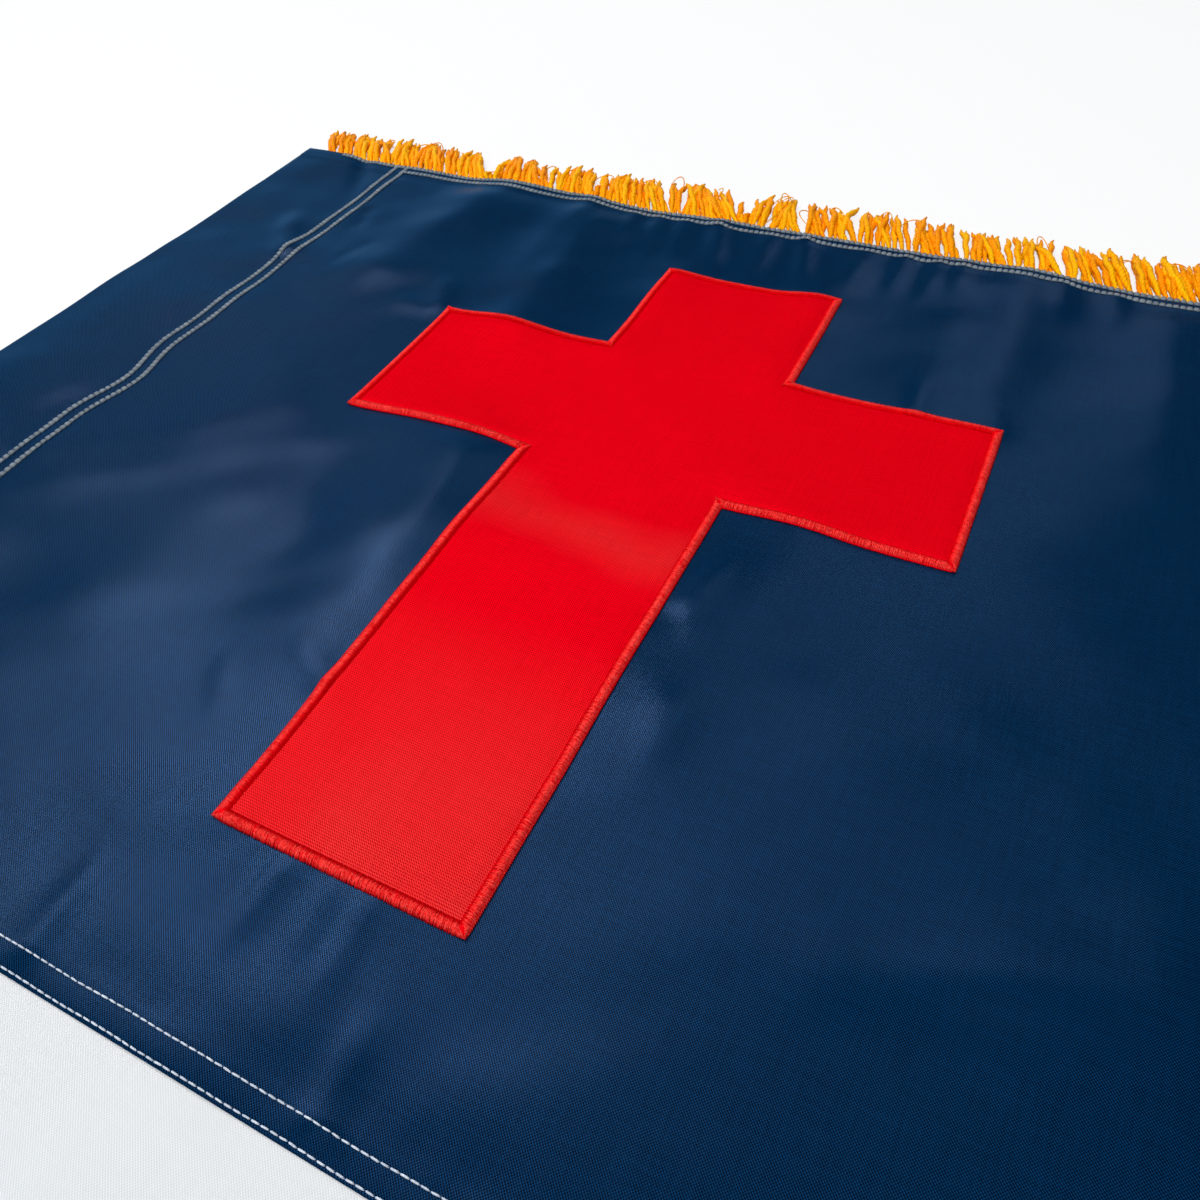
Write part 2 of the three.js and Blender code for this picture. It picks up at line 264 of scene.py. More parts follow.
def ridges(table, along, down, sink):
    total = np.zeros_like(along)
    for fromAlong, fromDown, toAlong, toDown, hoistWidth, *flySide, rise in np.array(table, float) * mm:
        flyWidth = flySide[0] if flySide else hoistWidth
        runAlong, runDown = toAlong - fromAlong, toDown - fromDown
        run = runAlong**2 + runDown**2
        share = np.clip(((along - fromAlong) * runAlong + (down - fromDown) * runDown) / run, 0, 1)
        apart = np.hypot(along - fromAlong - share * runAlong, down - fromDown - share * runDown)
        sideways = (along - fromAlong) * runDown - (down - fromDown) * runAlong
        flywards = 0.5 + 0.5 * sideways * np.sign(runDown) / (math.sqrt(run) * apart + 1e-9)
        halfWidth = hoistWidth + (flyWidth - hoistWidth) * flywards
        sunk = softStep((share - folding["sinkFrom"]) / (1 - folding["sinkFrom"]))
        total += rise * (1 - sink * sunk) * np.exp(-((apart / halfWidth) ** folding["sharpness"]))
    return total


def swell(along, down):
    total = np.zeros_like(along)
    for i, (wave, heading, size) in enumerate(slowWaves):
        phase = (along * math.cos(heading) + down * math.sin(heading)) * 2 * math.pi / wave
        bend = folding["swellBend"] * np.sin(phase * folding["swellSlow"] + i)
        total += size * np.sin(phase + folding["swellApart"] * i + bend)
    return total


def edgeDistance(along, down):
    return np.minimum(np.minimum(down, flag["height"] - down), flag["length"] - along)


def seamDistance(along, down):
    pastAlong, pastDown = along - flag["cantonLength"], down - flag["cantonHeight"]
    inside = np.minimum(-pastAlong, -pastDown)
    outside = np.hypot(np.maximum(pastAlong, 0), np.maximum(pastDown, 0))
    return np.where(inside >= 0, inside, outside)


# Puckers are short ridges and troughs that run off a row of stitches, where the thread has drawn
# the cloth in.
def puckersAlong(start, end, away, spacing, length, halfWidth, rise, seed):
    rng = np.random.default_rng(seed)
    start, end, away = (np.array(point, float) for point in (start, end, away))
    run = np.linalg.norm(end - start)
    found = []
    at = spacing * rng.random()
    while at < run:
        way = away + (end - start) / run * rng.normal(0, puckering["stray"])
        found.append((
            *(start + (end - start) * at / run),
            *(way / np.linalg.norm(way)),
            length * rng.uniform(*puckering["lengths"]),
            halfWidth * rng.uniform(*puckering["widths"]),
            rise * rng.uniform(*puckering["rises"]),
        ))
        at += spacing * rng.uniform(*puckering["gaps"])
    return found


def puckerHeight(puckers, along, down):
    total = np.zeros_like(along)
    for startAlong, startDown, wayAlong, wayDown, length, halfWidth, rise in puckers:
        offAlong, offDown = along - startAlong, down - startDown
        felt = length + puckering["feltTo"] * halfWidth
        near = (abs(offAlong) < felt) & (abs(offDown) < felt)
        a, d = offAlong[near], offDown[near]
        share = (a * wayAlong + d * wayDown) / length
        across = (a * wayDown - d * wayAlong) / (halfWidth * (1 + np.clip(share, 0, 1)))
        swelling = softStep(share / puckering["rampUp"]) * np.clip(1 - share, 0, 1) ** puckering["fade"]
        total[near] += rise * swelling * np.exp(-(across**2))
    return total


def crossSides():
    # the twelve sides as start, end, direction and inwards
    half, bar = cross["stemWidth"] / 2, cross["armWidth"] / 2
    arm, head, foot = cross["armReach"], cross["headReach"], cross["footReach"]
    corners = [
        (-half, -head), (half, -head), (half, -bar), (arm, -bar), (arm, bar), (half, bar),
        (half, foot), (-half, foot), (-half, bar), (-arm, bar), (-arm, -bar), (-half, -bar),
    ]
    centre = np.array((cross["centreAlong"], cross["centreDown"]))
    places = [centre + corner for corner in corners]
    for i, start in enumerate(places):
        end = places[(i + 1) % len(places)]
        way = (end - start) / np.linalg.norm(end - start)
        yield start, end, way, np.array((-way[1], way[0]))


hemOuter, hem = stitchRows["hemOuter"], stitchRows["hemInner"]
seamOuter, seam = stitchRows["seamOuter"], stitchRows["seamInner"]
sleeveOuter, sleeveInner = stitchRows["sleeveOuter"], stitchRows["sleeveInner"]
fly, foot = flag["cantonLength"], flag["cantonHeight"]
farEdge, lowEdge = flag["length"], flag["height"]
# where the rows run, from the top edge and from the hoist
flyOuter, footOuter = fly - seamOuter, foot - seamOuter
flySeam, footSeam = fly - seam, foot - seam
farOuter, lowOuter = farEdge - hemOuter, lowEdge - hemOuter
farHem, lowHem = farEdge - hem, lowEdge - hem

# from, to, away, spacing, length, halfWidth, rise, seed
cantonPuckers = [
    *puckersAlong((0.08, hem), (fly, hem), (0, 1), 0.013, 0.026, 0.0032, 0.0004, 3),
    *puckersAlong((sleeveInner, 0.01), (sleeveInner, foot), (1, 0), 0.024, 0.026, 0.0040, 0.0005, 5),
    *puckersAlong((sleeveOuter, 0.01), (sleeveOuter, foot), (-1, 0), 0.028, 0.022, 0.0044, 0.0005, 6),
    *puckersAlong((0.08, footSeam), (fly, footSeam), (0, -1), 0.019, 0.030, 0.0048, 0.0006, 7),
    *puckersAlong((flySeam, 0.01), (flySeam, foot), (-1, 0), 0.019, 0.030, 0.0048, 0.0006, 8),
]
fieldPuckers = [
    *puckersAlong((0, foot), (fly, foot), (0, 1), 0.017, 0.030, 0.0050, 0.0006, 11),
    *puckersAlong((fly, 0), (fly, foot), (1, 0), 0.020, 0.034, 0.0055, 0.0006, 12),
    *puckersAlong((fly, hem), (farEdge, hem), (0, 1), 0.024, 0.040, 0.0080, 0.0009, 13),
    *puckersAlong((0, lowHem), (farEdge, lowHem), (0, -1), 0.024, 0.040, 0.0080, 0.0009, 14),
    *puckersAlong((farHem, 0), (farHem, lowEdge), (-1, 0), 0.024, 0.040, 0.0080, 0.0009, 15),
]
crossPuckers = []
for i, (start, end, way, inwards) in enumerate(crossSides()):
    cantonPuckers += puckersAlong(start, end, -inwards, 0.012, 0.017, 0.0026, 0.00042, 30 + i)
    within = inwards * crossCloth["puckersFrom"]
    start, end = start + within, end + within
    crossPuckers += puckersAlong(start, end, inwards, 0.016, 0.014, 0.0030, 0.00022, 50 + i)


def easedLift(height, distance):
    return height * (1 - softStep((distance - lay["hemWidth"]) / lay["easeWidth"]))


def sleeveLift(along):
    # from the fold, over the hollow, down to the joint, and off the turned edge to the surface
    toRow = np.clip(along / sleeve["row"], 0, 1)
    atFold = 2 * sleeve["foldRadius"] - lay["solidThickness"]
    hollow = sleeve["fullness"] * softStep(toRow / sleeve["hollowFrom"])
    hollow = hollow * softStep((1 - toRow) / sleeve["hollowTo"])
    hollow = hollow + atFold * (1 - softStep(toRow))
    settled = softStep((along - sleeve["joint"]) / (sleeve["settle"] - sleeve["joint"]))
    return lay["solidThickness"] * (1 - settled) + hollow


def rowDips(along, down, rows):
    total = np.zeros_like(along)
    for at, runsDown in rows:
        apart = (along if runsDown else down) - at
        total -= stitchRows["dip"] * np.exp(-((apart / stitchRows["dipWidth"]) ** 2))
    return total


# place, and whether the row runs down the flag
sleeveRows = [(sleeveOuter, True), (sleeveInner, True)]
topRows = [(hemOuter, False), (hem, False)]
cantonRows = sleeveRows + [(flyOuter, True), (flySeam, True)]
cantonRows += topRows + [(footOuter, False), (footSeam, False)]
fieldRows = sleeveRows + [(farOuter, True), (farHem, True)]
fieldRows += topRows + [(lowOuter, False), (lowHem, False)]


def settleOn(height):
    # nothing goes below the surface, and what comes near it lies down softly
    over = height + lay["looseness"]
    return 0.5 * (over + np.sqrt(over**2 + lay["floorBlend"] ** 2))


def relief(along, down, puckers, rows):
    fromHem = np.minimum(edgeDistance(along, down), seamDistance(along, down))
    calm = softStep((fromHem - lay["hemWidth"] / 2) / lay["calmWidth"])
    calm = lay["calmShare"] + (1 - lay["calmShare"]) * calm
    folds = calm * (ridges(mainFolds, along, down, folding["mainSink"]) - folding["ground"])
    swollen = folding["swellAtHem"] + (1 - folding["swellAtHem"]) * calm
    fine = ridges(smallCreases, along, down, folding["creaseSink"]) + swell(along, down) * swollen
    return folds + fine + puckerHeight(puckers, along, down) + rowDips(along, down, rows)


def cantonUnder(along, down):
    lift = easedLift(lay["fringeLift"], down) + easedLift(lay["lapLift"], seamDistance(along, down))
    return settleOn(lift + sleeveLift(along) + relief(along, down, cantonPuckers, cantonRows))


def fieldUnder(along, down):
    lift = easedLift(lay["fringeLift"], edgeDistance(along, down)) + sleeveLift(along)
    return settleOn(lift + relief(along, down, fieldPuckers, fieldRows))


def hemmed(distance):
    extra = cloth["hemThickness"] - cloth["thickness"]
    return cloth["thickness"] + extra * (1 - softStep((distance - cloth["hemFold"]) / cloth["hemStep"]))


def cantonThickness(along, down):
    return hemmed(np.minimum(down, seamDistance(along, down)))


def fieldThickness(along, down):
    inField = np.where(seamDistance(along, down) > 0, edgeDistance(along, down), 1.0)
    return hemmed(inField)


def cantonTop(along, down):
    return cantonUnder(along, down) + cantonThickness(along, down)


def fieldTop(along, down):
    return fieldUnder(along, down) + fieldThickness(along, down)


def insideBy(along, down):
    # how far inside the outline of the cross
    across = abs(along - cross["centreAlong"])
    below = down - cross["centreDown"]
    inStem = np.minimum(below + cross["headReach"], cross["footReach"] - below)
    inStem = np.minimum(inStem, cross["stemWidth"] / 2 - across)
    inArms = np.minimum(cross["armReach"] - across, cross["armWidth"] / 2 - abs(below))
    return np.maximum(inStem, inArms)


def crossTop(along, down):
    fromBorder = insideBy(along, down) - crossCloth["drawnFrom"]
    free = softStep(fromBorder / (crossCloth["drawnTo"] - crossCloth["drawnFrom"]))
    rise = puckerHeight(crossPuckers, along, down) + crossCloth["fullness"] * free
    return cantonTop(along, down) + crossCloth["gap"] + crossCloth["thickness"] + rise


def edgeShift(edge, alongEdge, fromEdge):
    size, wave, start, inwards = edgeDrift[edge]
    return size * np.sin(alongEdge / wave + start) * (1 - softStep(fromEdge / inwards))


def sleeveShift(along, down):
    creep = sum(size * np.exp(-(((down - centre) / half) ** 2)) for centre, half, size in sleeveCreep)
    apart = (along - sleeve["row"]) / creepReach
    return creep * np.exp(-(apart**2)) * softStep(along / sleeve["row"])


def place(along, down, height):
    inAlong, inDown = np.clip(along, 0, farEdge), np.clip(down, 0, lowEdge)
    shiftAlong = edgeShift("hoist", inDown, inAlong) + edgeShift("fly", inDown, farEdge - inAlong)
    shiftAlong += sleeveShift(inAlong, inDown)
    shiftDown = edgeShift("top", inAlong, inDown) + edgeShift("bottom", inAlong, lowEdge - inDown)
    return np.stack([hoistX + along + shiftAlong, topY - down - shiftDown, height + 0 * along], -1)


def normalAt(along, down, topAt, reach=0.0008):
    acrossAlong = place(along + reach, down, topAt(along + reach, down))
    acrossAlong -= place(along - reach, down, topAt(along - reach, down))
    acrossDown = place(along, down + reach, topAt(along, down + reach))
    acrossDown -= place(along, down - reach, topAt(along, down - reach))
    return unit(np.cross(acrossDown, acrossAlong))


def stations(marks, spots, fine, coarse, spread=0.005):
    # places between the marks, close together near the spots and further apart away from them
    result = [marks[0]]
    for start, end in zip(marks, marks[1:]):
        walked = [start]
        while walked[-1] < end - 1e-9:
            nearest = min((abs(walked[-1] - spot) for spot in spots), default=1)
            walked.append(walked[-1] + fine + (coarse - fine) * float(softStep(nearest / spread)))
        walked = np.array(walked[1:])
        result += list(start + (walked - start) * (end - start) / (walked[-1] - start))
    return np.array(result)


def cellMiddles(alongs, downs):
    return np.meshgrid((alongs[:-1] + alongs[1:]) / 2, (downs[:-1] + downs[1:]) / 2, indexing="ij")


def newPiece(name, mesh):
    piece = bpy.data.objects.new(name, mesh)
    bpy.context.scene.collection.objects.link(piece)
    return piece


def meshFrom(name, points, faces, uv=None, layerName=None, smooth=True):
    mesh = bpy.data.meshes.new(name)
    mesh.from_pydata(np.reshape(points, (-1, 3)).tolist(), [], faces)
    if uv is not None:
        corners = np.empty(len(mesh.loops), np.int32)
        mesh.loops.foreach_get("vertex_index", corners)
        layer = mesh.uv_layers.new(name=layerName)
        layer.data.foreach_set("uv", np.array(uv)[corners].astype(np.float32).ravel())
    if smooth:
        mesh.shade_smooth()
    mesh.update()
    return mesh


def sheetMesh(name, mid, thickness, covers, clothUv):
    # a closed thin sheet on a grid: face, back, and walls wherever a covered cell has no neighbour
    columns, rows = mid.shape[:2]
    normal = unit(np.cross(np.gradient(mid, axis=1), np.gradient(mid, axis=0)))
    face = mid + normal * thickness[..., None] / 2
    back = mid - normal * thickness[..., None] / 2
    number = np.arange(columns * rows).reshape(columns, rows)
    other = number + columns * rows
    padded = np.zeros((columns + 1, rows + 1), bool)
    padded[1:-1, 1:-1] = covers
    a, b, c, d = number[:-1, :-1], number[1:, :-1], number[1:, 1:], number[:-1, 1:]
    e, f, g, h = other[:-1, :-1], other[1:, :-1], other[1:, 1:], other[:-1, 1:]
    inside = padded[1:-1, 1:-1]
    quads = [
        np.stack([d, c, b, a], -1)[inside],
        np.stack([e, f, g, h], -1)[inside],
        np.stack([a, e, h, d], -1)[inside & ~padded[:-2, 1:-1]],
        np.stack([c, g, f, b], -1)[inside & ~padded[2:, 1:-1]],
        np.stack([b, f, e, a], -1)[inside & ~padded[1:-1, :-2]],
        np.stack([d, h, g, c], -1)[inside & ~padded[1:-1, 2:]],
    ]
    quads = np.concatenate(quads)
    used, quads = np.unique(quads, return_inverse=True)
    quads = quads.reshape(-1, 4)
    points = np.concatenate([face.reshape(-1, 3), back.reshape(-1, 3)])[used]
    uv = np.concatenate([clothUv.reshape(-1, 2)] * 2)[used]
    return newPiece(name, meshFrom(name, points, quads.tolist(), uv, "cloth"))


def wrappedSheet(name, alongs, downs, underAt, thicknessAt, coversAt):
    # the sheet goes from the turned edge under the sleeve, round the fold at the hoist, to the fly
    half = cloth["thickness"] / 2
    foldAt = sleeve["foldRadius"]
    turned = sleeve["turnedEdge"]
    backs = stations([foldAt, turned], [turned], sleeve["backFine"], sleeve["backStep"])[::-1, None]
    turns = np.radians(np.linspace(-90, 90, sleeve["foldSteps"]))[1:, None]
    down = downs[None, :]
    backLift = softStep((backs - sleeve["backLiftFrom"]) / (sleeve["row"] - sleeve["backLiftFrom"]))
    atJoint = underAt(np.full_like(down, sleeve["joint"]), down) - lay["solidThickness"]
    radius = underAt(np.full_like(down, foldAt), down) / 2
    along, wide = np.meshgrid(alongs, downs, indexing="ij")
    thickness = thicknessAt(along, wide)
    mid = np.concatenate([
        place(backs + 0 * down, down + 0 * backs, half + backLift * np.maximum(atJoint, 0)),
        place(radius * (1 - np.cos(turns)), down + 0 * turns, half + radius * (1 + np.sin(turns))),
        place(along, wide, underAt(along, wide) + thickness / 2),
    ])
    thinPart = np.full((len(backs) + len(turns), len(downs)), cloth["thickness"])
    thick = np.concatenate([thinPart, thickness])
    for edge in (thick[:1], thick[-1:], thick[:, :1], thick[:, -1:]):
        edge *= cloth["edgeTaper"]
    turnPlaces = np.linspace(-foldAt, foldAt, len(turns) + 1)[1:]
    nominal = np.concatenate([-backs[:, 0], turnPlaces, alongs])
    clothUv = np.stack(np.meshgrid(nominal, downs, indexing="ij"), -1)
    return sheetMesh(name, mid, thick, coversAt(*cellMiddles(nominal, downs)), clothUv)


print("canton: navy sheet with its pole sleeve")
cantonSheet = dict(step=0.0033, downStep=0.0038, fine=0.0009)
sleeveMiddle = (sleeveOuter + sleeveInner) / 2
canton = wrappedSheet(
    "canton",
    stations([sleeve["sheetFrom"], sleeve["joint"], fly],
             [0.0, sleeveOuter, sleeveMiddle, sleeveInner, flySeam, fly - seam / 2, fly],
             cantonSheet["fine"], cantonSheet["step"]),
    stations([0.0, foot], [0.0, hem / 2, hem, footSeam, foot - seam / 2, foot],
             cantonSheet["fine"], cantonSheet["downStep"]),
    cantonUnder,
    cantonThickness,
    lambda along, down: np.ones_like(along, bool),
)

print("field: white sheet round two sides of the canton")
fieldSheet = dict(step=0.0082, fine=0.0016, spread=0.012, lap=0.008, seamGap=0.0005)


def fieldCovers(along, down):
    besideCanton = along > fly - fieldSheet["lap"]
    underCanton = (down > foot - fieldSheet["lap"]) & (along > sleeve["settle"])
    return besideCanton | underCanton | (down > foot + fieldSheet["seamGap"])


fieldSteps = fieldSheet["fine"], fieldSheet["step"], fieldSheet["spread"]
field = wrappedSheet(
    "field",
    stations([sleeve["sheetFrom"], sleeve["settle"], fly - fieldSheet["lap"], farEdge],
             [0.0, sleeveOuter, sleeveInner, fly, farHem, farEdge], *fieldSteps),
    stations([0.0, foot - fieldSheet["lap"], foot + fieldSheet["seamGap"], lowEdge],
             [0.0, hem, foot, lowHem, lowEdge], *fieldSteps),
    fieldUnder,
    fieldThickness,
    fieldCovers,
)

print("cross: red cloth laid on the canton")
inset = crossCloth["inset"]
halfStem, halfBar = cross["stemWidth"] / 2, cross["armWidth"] / 2
alongMarks = [cross["centreAlong"] + reach for reach in (
    -cross["armReach"] + inset, -halfStem + inset, halfStem - inset, cross["armReach"] - inset,
)]
downMarks = [cross["centreDown"] + reach for reach in (
    -cross["headReach"] + inset, -halfBar + inset, halfBar - inset, cross["footReach"] - inset,
)]
crossAlongs, crossDowns = (
    stations(marks, marks, crossCloth["fine"], crossCloth["step"], crossCloth["spread"])
    for marks in (alongMarks, downMarks)
)
along, down = np.meshgrid(crossAlongs, crossDowns, indexing="ij")
middle = crossTop(along, down) - crossCloth["thickness"] / 2
crossSheet = sheetMesh(
    "crossCloth",
    place(along, down, middle),
    np.full_like(along, crossCloth["thickness"]),
    insideBy(*cellMiddles(crossAlongs, crossDowns)) > 0,
    np.stack([along, down], -1),
)


def addNode(tree, kind, inputs=None, output=0, **settings):
    # makes a node, joins its inputs up and gives back one of its outputs
    made = tree.nodes.new(kind)
    for name, value in settings.items():
        setattr(made, name, value)
    for name, value in (inputs or {}).items():
        if isinstance(value, bpy.types.NodeSocket):
            tree.links.new(value, made.inputs[name])
        else:
            made.inputs[name].default_value = value
    return made.outputs[output]


def addMath(tree, operation, first, second=0.0, third=0.0):
    return addNode(tree, "ShaderNodeMath", {0: first, 1: second, 2: third}, operation=operation)


# Geometry Nodes tree that sews or hangs small pieces along a path. The path's points say where the
# surface faces (up), which way the row runs (heading), how each piece is sized (size) and how far it
# leans over (lean).
def alongPathTree():
    tree = bpy.data.node_groups.new("piecesAlongPath", "GeometryNodeTree")
    sockets = [
        ("Path", "NodeSocketGeometry", None),
        ("Pieces", "NodeSocketCollection", None),
        ("Pitch", "NodeSocketFloat", 0.0028),
        ("Slide", "NodeSocketFloat", 0.0),
        ("Turn", "NodeSocketFloat", 0.05),
        ("Tilt", "NodeSocketFloat", 0.0),
        ("Size Change", "NodeSocketFloat", 0.05),
        ("Seed", "NodeSocketInt", 1),
        ("Finish", "NodeSocketMaterial", None),
    ]
    for name, kind, value in sockets:
        socket = tree.interface.new_socket(name, in_out="INPUT", socket_type=kind)
        if value is not None:
            socket.default_value = value
    tree.interface.new_socket("Result", in_out="OUTPUT", socket_type="NodeSocketGeometry")
    given = tree.nodes.new("NodeGroupInput").outputs

    # every random draw has a number of its own, added to the row's seed
    draws = dict(slide=11, turn=23, tiltX=31, tiltY=47, size=59, piece=71, tone=83)

    def attribute(name, kind="FLOAT_VECTOR"):
        return addNode(tree, "GeometryNodeInputNamedAttribute", {"Name": name}, data_type=kind)

    def scaled(vector, scale):
        return addNode(tree, "ShaderNodeVectorMath", {0: vector, "Scale": scale}, operation="SCALE")

    def drawn(kind, least, most, draw):
        # whole numbers have their own inputs and output on the node
        first, output = (4, 2) if kind == "INT" else (2, 1)
        seed = addMath(tree, "ADD", given["Seed"], draws[draw])
        limits = {first: least, first + 1: most, 8: seed}
        return addNode(tree, "FunctionNodeRandomValue", limits, output, data_type=kind)

    def chance(name, draw):
        return drawn("FLOAT", addMath(tree, "MULTIPLY", given[name], -1.0), given[name], draw)

    curve = addNode(tree, "GeometryNodeMeshToCurve", {"Mesh": given["Path"]})
    spaced = addNode(tree, "GeometryNodeResampleCurve", {
        "Curve": curve,
        "Length": given["Pitch"],
    }, mode="LENGTH")
    heading = attribute("heading")
    moved = addNode(tree, "GeometryNodeSetPosition", {
        "Geometry": spaced,
        "Offset": scaled(heading, chance("Slide", "slide")),
    })
    facing = addNode(tree, "FunctionNodeAxesToRotation", {
        "Primary Axis": attribute("up"),
        "Secondary Axis": heading,
    }, primary_axis="Z", secondary_axis="X")
    local = addNode(tree, "ShaderNodeCombineXYZ", {
        "X": chance("Tilt", "tiltX"),
        "Y": chance("Tilt", "tiltY"),
        "Z": addMath(tree, "ADD", attribute("lean", "FLOAT"), chance("Turn", "turn")),
    })
    turned = addNode(tree, "FunctionNodeRotateRotation", {
        0: facing,
        1: addNode(tree, "FunctionNodeEulerToRotation", {0: local}),
    }, rotation_space="LOCAL")
    pieces = addNode(tree, "GeometryNodeCollectionInfo", {
        "Collection": given["Pieces"],
        "Separate Children": True,
        "Reset Children": True,
    })
    placed = addNode(tree, "GeometryNodeInstanceOnPoints", {
        "Points": moved,
        "Instance": pieces,
        "Pick Instance": True,
        # more than any set holds, since counting starts over at its end
        "Instance Index": drawn("INT", 0, 100, "piece"),
        "Rotation": turned,
        "Scale": scaled(attribute("size"), addMath(tree, "ADD", chance("Size Change", "size"), 1.0)),
    })
    toned = addNode(tree, "GeometryNodeStoreNamedAttribute", {
        "Geometry": placed,
        "Name": "tone",
        "Value": drawn("FLOAT", 0.0, 1.0, "tone"),
    }, data_type="FLOAT", domain="INSTANCE")
    real = addNode(tree, "GeometryNodeRealizeInstances", {0: toned})
    finished = addNode(tree, "GeometryNodeSetMaterial", {0: real, "Material": given["Finish"]})
    tree.links.new(finished, tree.nodes.new("NodeGroupOutput").inputs["Result"])
    return tree


piecesAlongPath = alongPathTree()


def pathMesh(name, lines):
    # each line is a dictionary of points with their heading, up, size and lean
    points, edges, first = [], [], 0
    for line in lines:
        count = len(line["points"])
        points.append(line["points"])
        edges += [(first + i, first + i + 1) for i in range(count - 1)]
        first += count
    mesh = bpy.data.meshes.new(name)
    mesh.from_pydata(np.concatenate(points).tolist(), edges, [])
    for key, kind, field in (
        ("heading", "FLOAT_VECTOR", "vector"),
        ("up", "FLOAT_VECTOR", "vector"),
        ("size", "FLOAT_VECTOR", "vector"),
        ("lean", "FLOAT", "value"),
    ):
        attribute = mesh.attributes.new(key, kind, "POINT")
        values = np.concatenate([line[key] for line in lines]).astype(np.float32)
        attribute.data.foreach_set(field, values.ravel())
    return mesh


def setAlong(name, lines, pieces, finish, sizes):
    # runs the tree on the lines and gives back a plain mesh object
    path = newPiece(name + "Path", pathMesh(name + "Path", lines))
    modifier = path.modifiers.new("pieces along path", "NODES")
    modifier.node_group = piecesAlongPath
    identifiers = {item.name: item.identifier for item in piecesAlongPath.interface.items_tree}
    for key, value in {"Pieces": pieces, "Finish": finish, **sizes}.items():
        modifier[identifiers[key]] = value
    view = bpy.context.evaluated_depsgraph_get()
    mesh = bpy.data.meshes.new_from_object(path.evaluated_get(view), depsgraph=view)
    mesh.name = name
    mesh.materials.pop(index=0)  # the path's own slot is empty
    bpy.data.objects.remove(path)
    print("  ", name, len(mesh.polygons), "faces")
    return newPiece(name, mesh)


# Finishes. Each cloth has a "cloth" UV map in metres of cloth, so its weave follows every fold.
def startFinish(name):
    material = bpy.data.materials.new(name)
    material.use_nodes = True
    material.node_tree.nodes.clear()
    return material, material.node_tree


def setSurface(tree, surface):
    tree.links.new(surface, tree.nodes.new("ShaderNodeOutputMaterial").inputs["Surface"])


def endFinish(tree, base, height, look):
    bump = addNode(tree, "ShaderNodeBump", {"Height": height, "Distance": look["depth"], "Strength": 1})
    setSurface(tree, addNode(tree, "ShaderNodeBsdfPrincipled", {
        "Base Color": base,
        "Normal": bump,
        "Roughness": look["roughness"],
        "Metallic": look["metallic"],
        "Specular IOR Level": look["specular"],
        "Specular Tint": look["specularTint"],
    }))


def mixColours(tree, share, first, second):
    return addNode(tree, "ShaderNodeMix", {0: share, 6: first, 7: second}, 2, data_type="RGBA")


def mapRange(tree, value, fromLow, fromHigh, toLow=0.0, toHigh=1.0, **settings):
    return addNode(tree, "ShaderNodeMapRange", {
        "Value": value,
        "From Min": fromLow,
        "From Max": fromHigh,
        "To Min": toLow,
        "To Max": toHigh,
    }, **settings)


def colour(red, green, blue):
    # a colour as it is seen, from 0 to 255, in the linear values that a finish takes
    seen = [value / 255 for value in (red, green, blue)]
    return (*[v / 12.92 if v <= 0.04045 else ((v + 0.055) / 1.055) ** 2.4 for v in seen], 1.0)


def noiseAt(tree, vector, scale, detail=2.0):
    inputs = {"Vector": vector, "Scale": scale, "Detail": detail}
    return addNode(tree, "ShaderNodeTexNoise", inputs, "Fac")


def stretched(tree, vector, scale):
    return addNode(tree, "ShaderNodeMapping", {"Vector": vector, "Scale": scale})


def placeOn(tree, layer):
    # along and across the cloth or the strand, in metres, together and apart
    uv = addNode(tree, "ShaderNodeUVMap", uv_map=layer)
    apart = addNode(tree, "ShaderNodeSeparateXYZ", {0: uv}).node.outputs
    return uv, apart[0], apart[1]


weave = dict(
    slubLong=60,      # slubs a metre along a yarn
    slubThin=900,     # and across it
    slubDetail=1.0,
    cloudDetail=3.0,
    cloud=(0.32, 0.68),  # values of the cloudy noise, between which the paler crown comes in
    driftScale=12.0,
    # strength of the painted highlight patch, on a cloth that has one
    sheen=0.5,
    sheenLeast=0.4,    # how much of the painted sheen shows where the cloud is thin
    lit=(-0.35, 1.2),  # heights in the weave, from a gap's painted shade to a crown's painted highlight
)


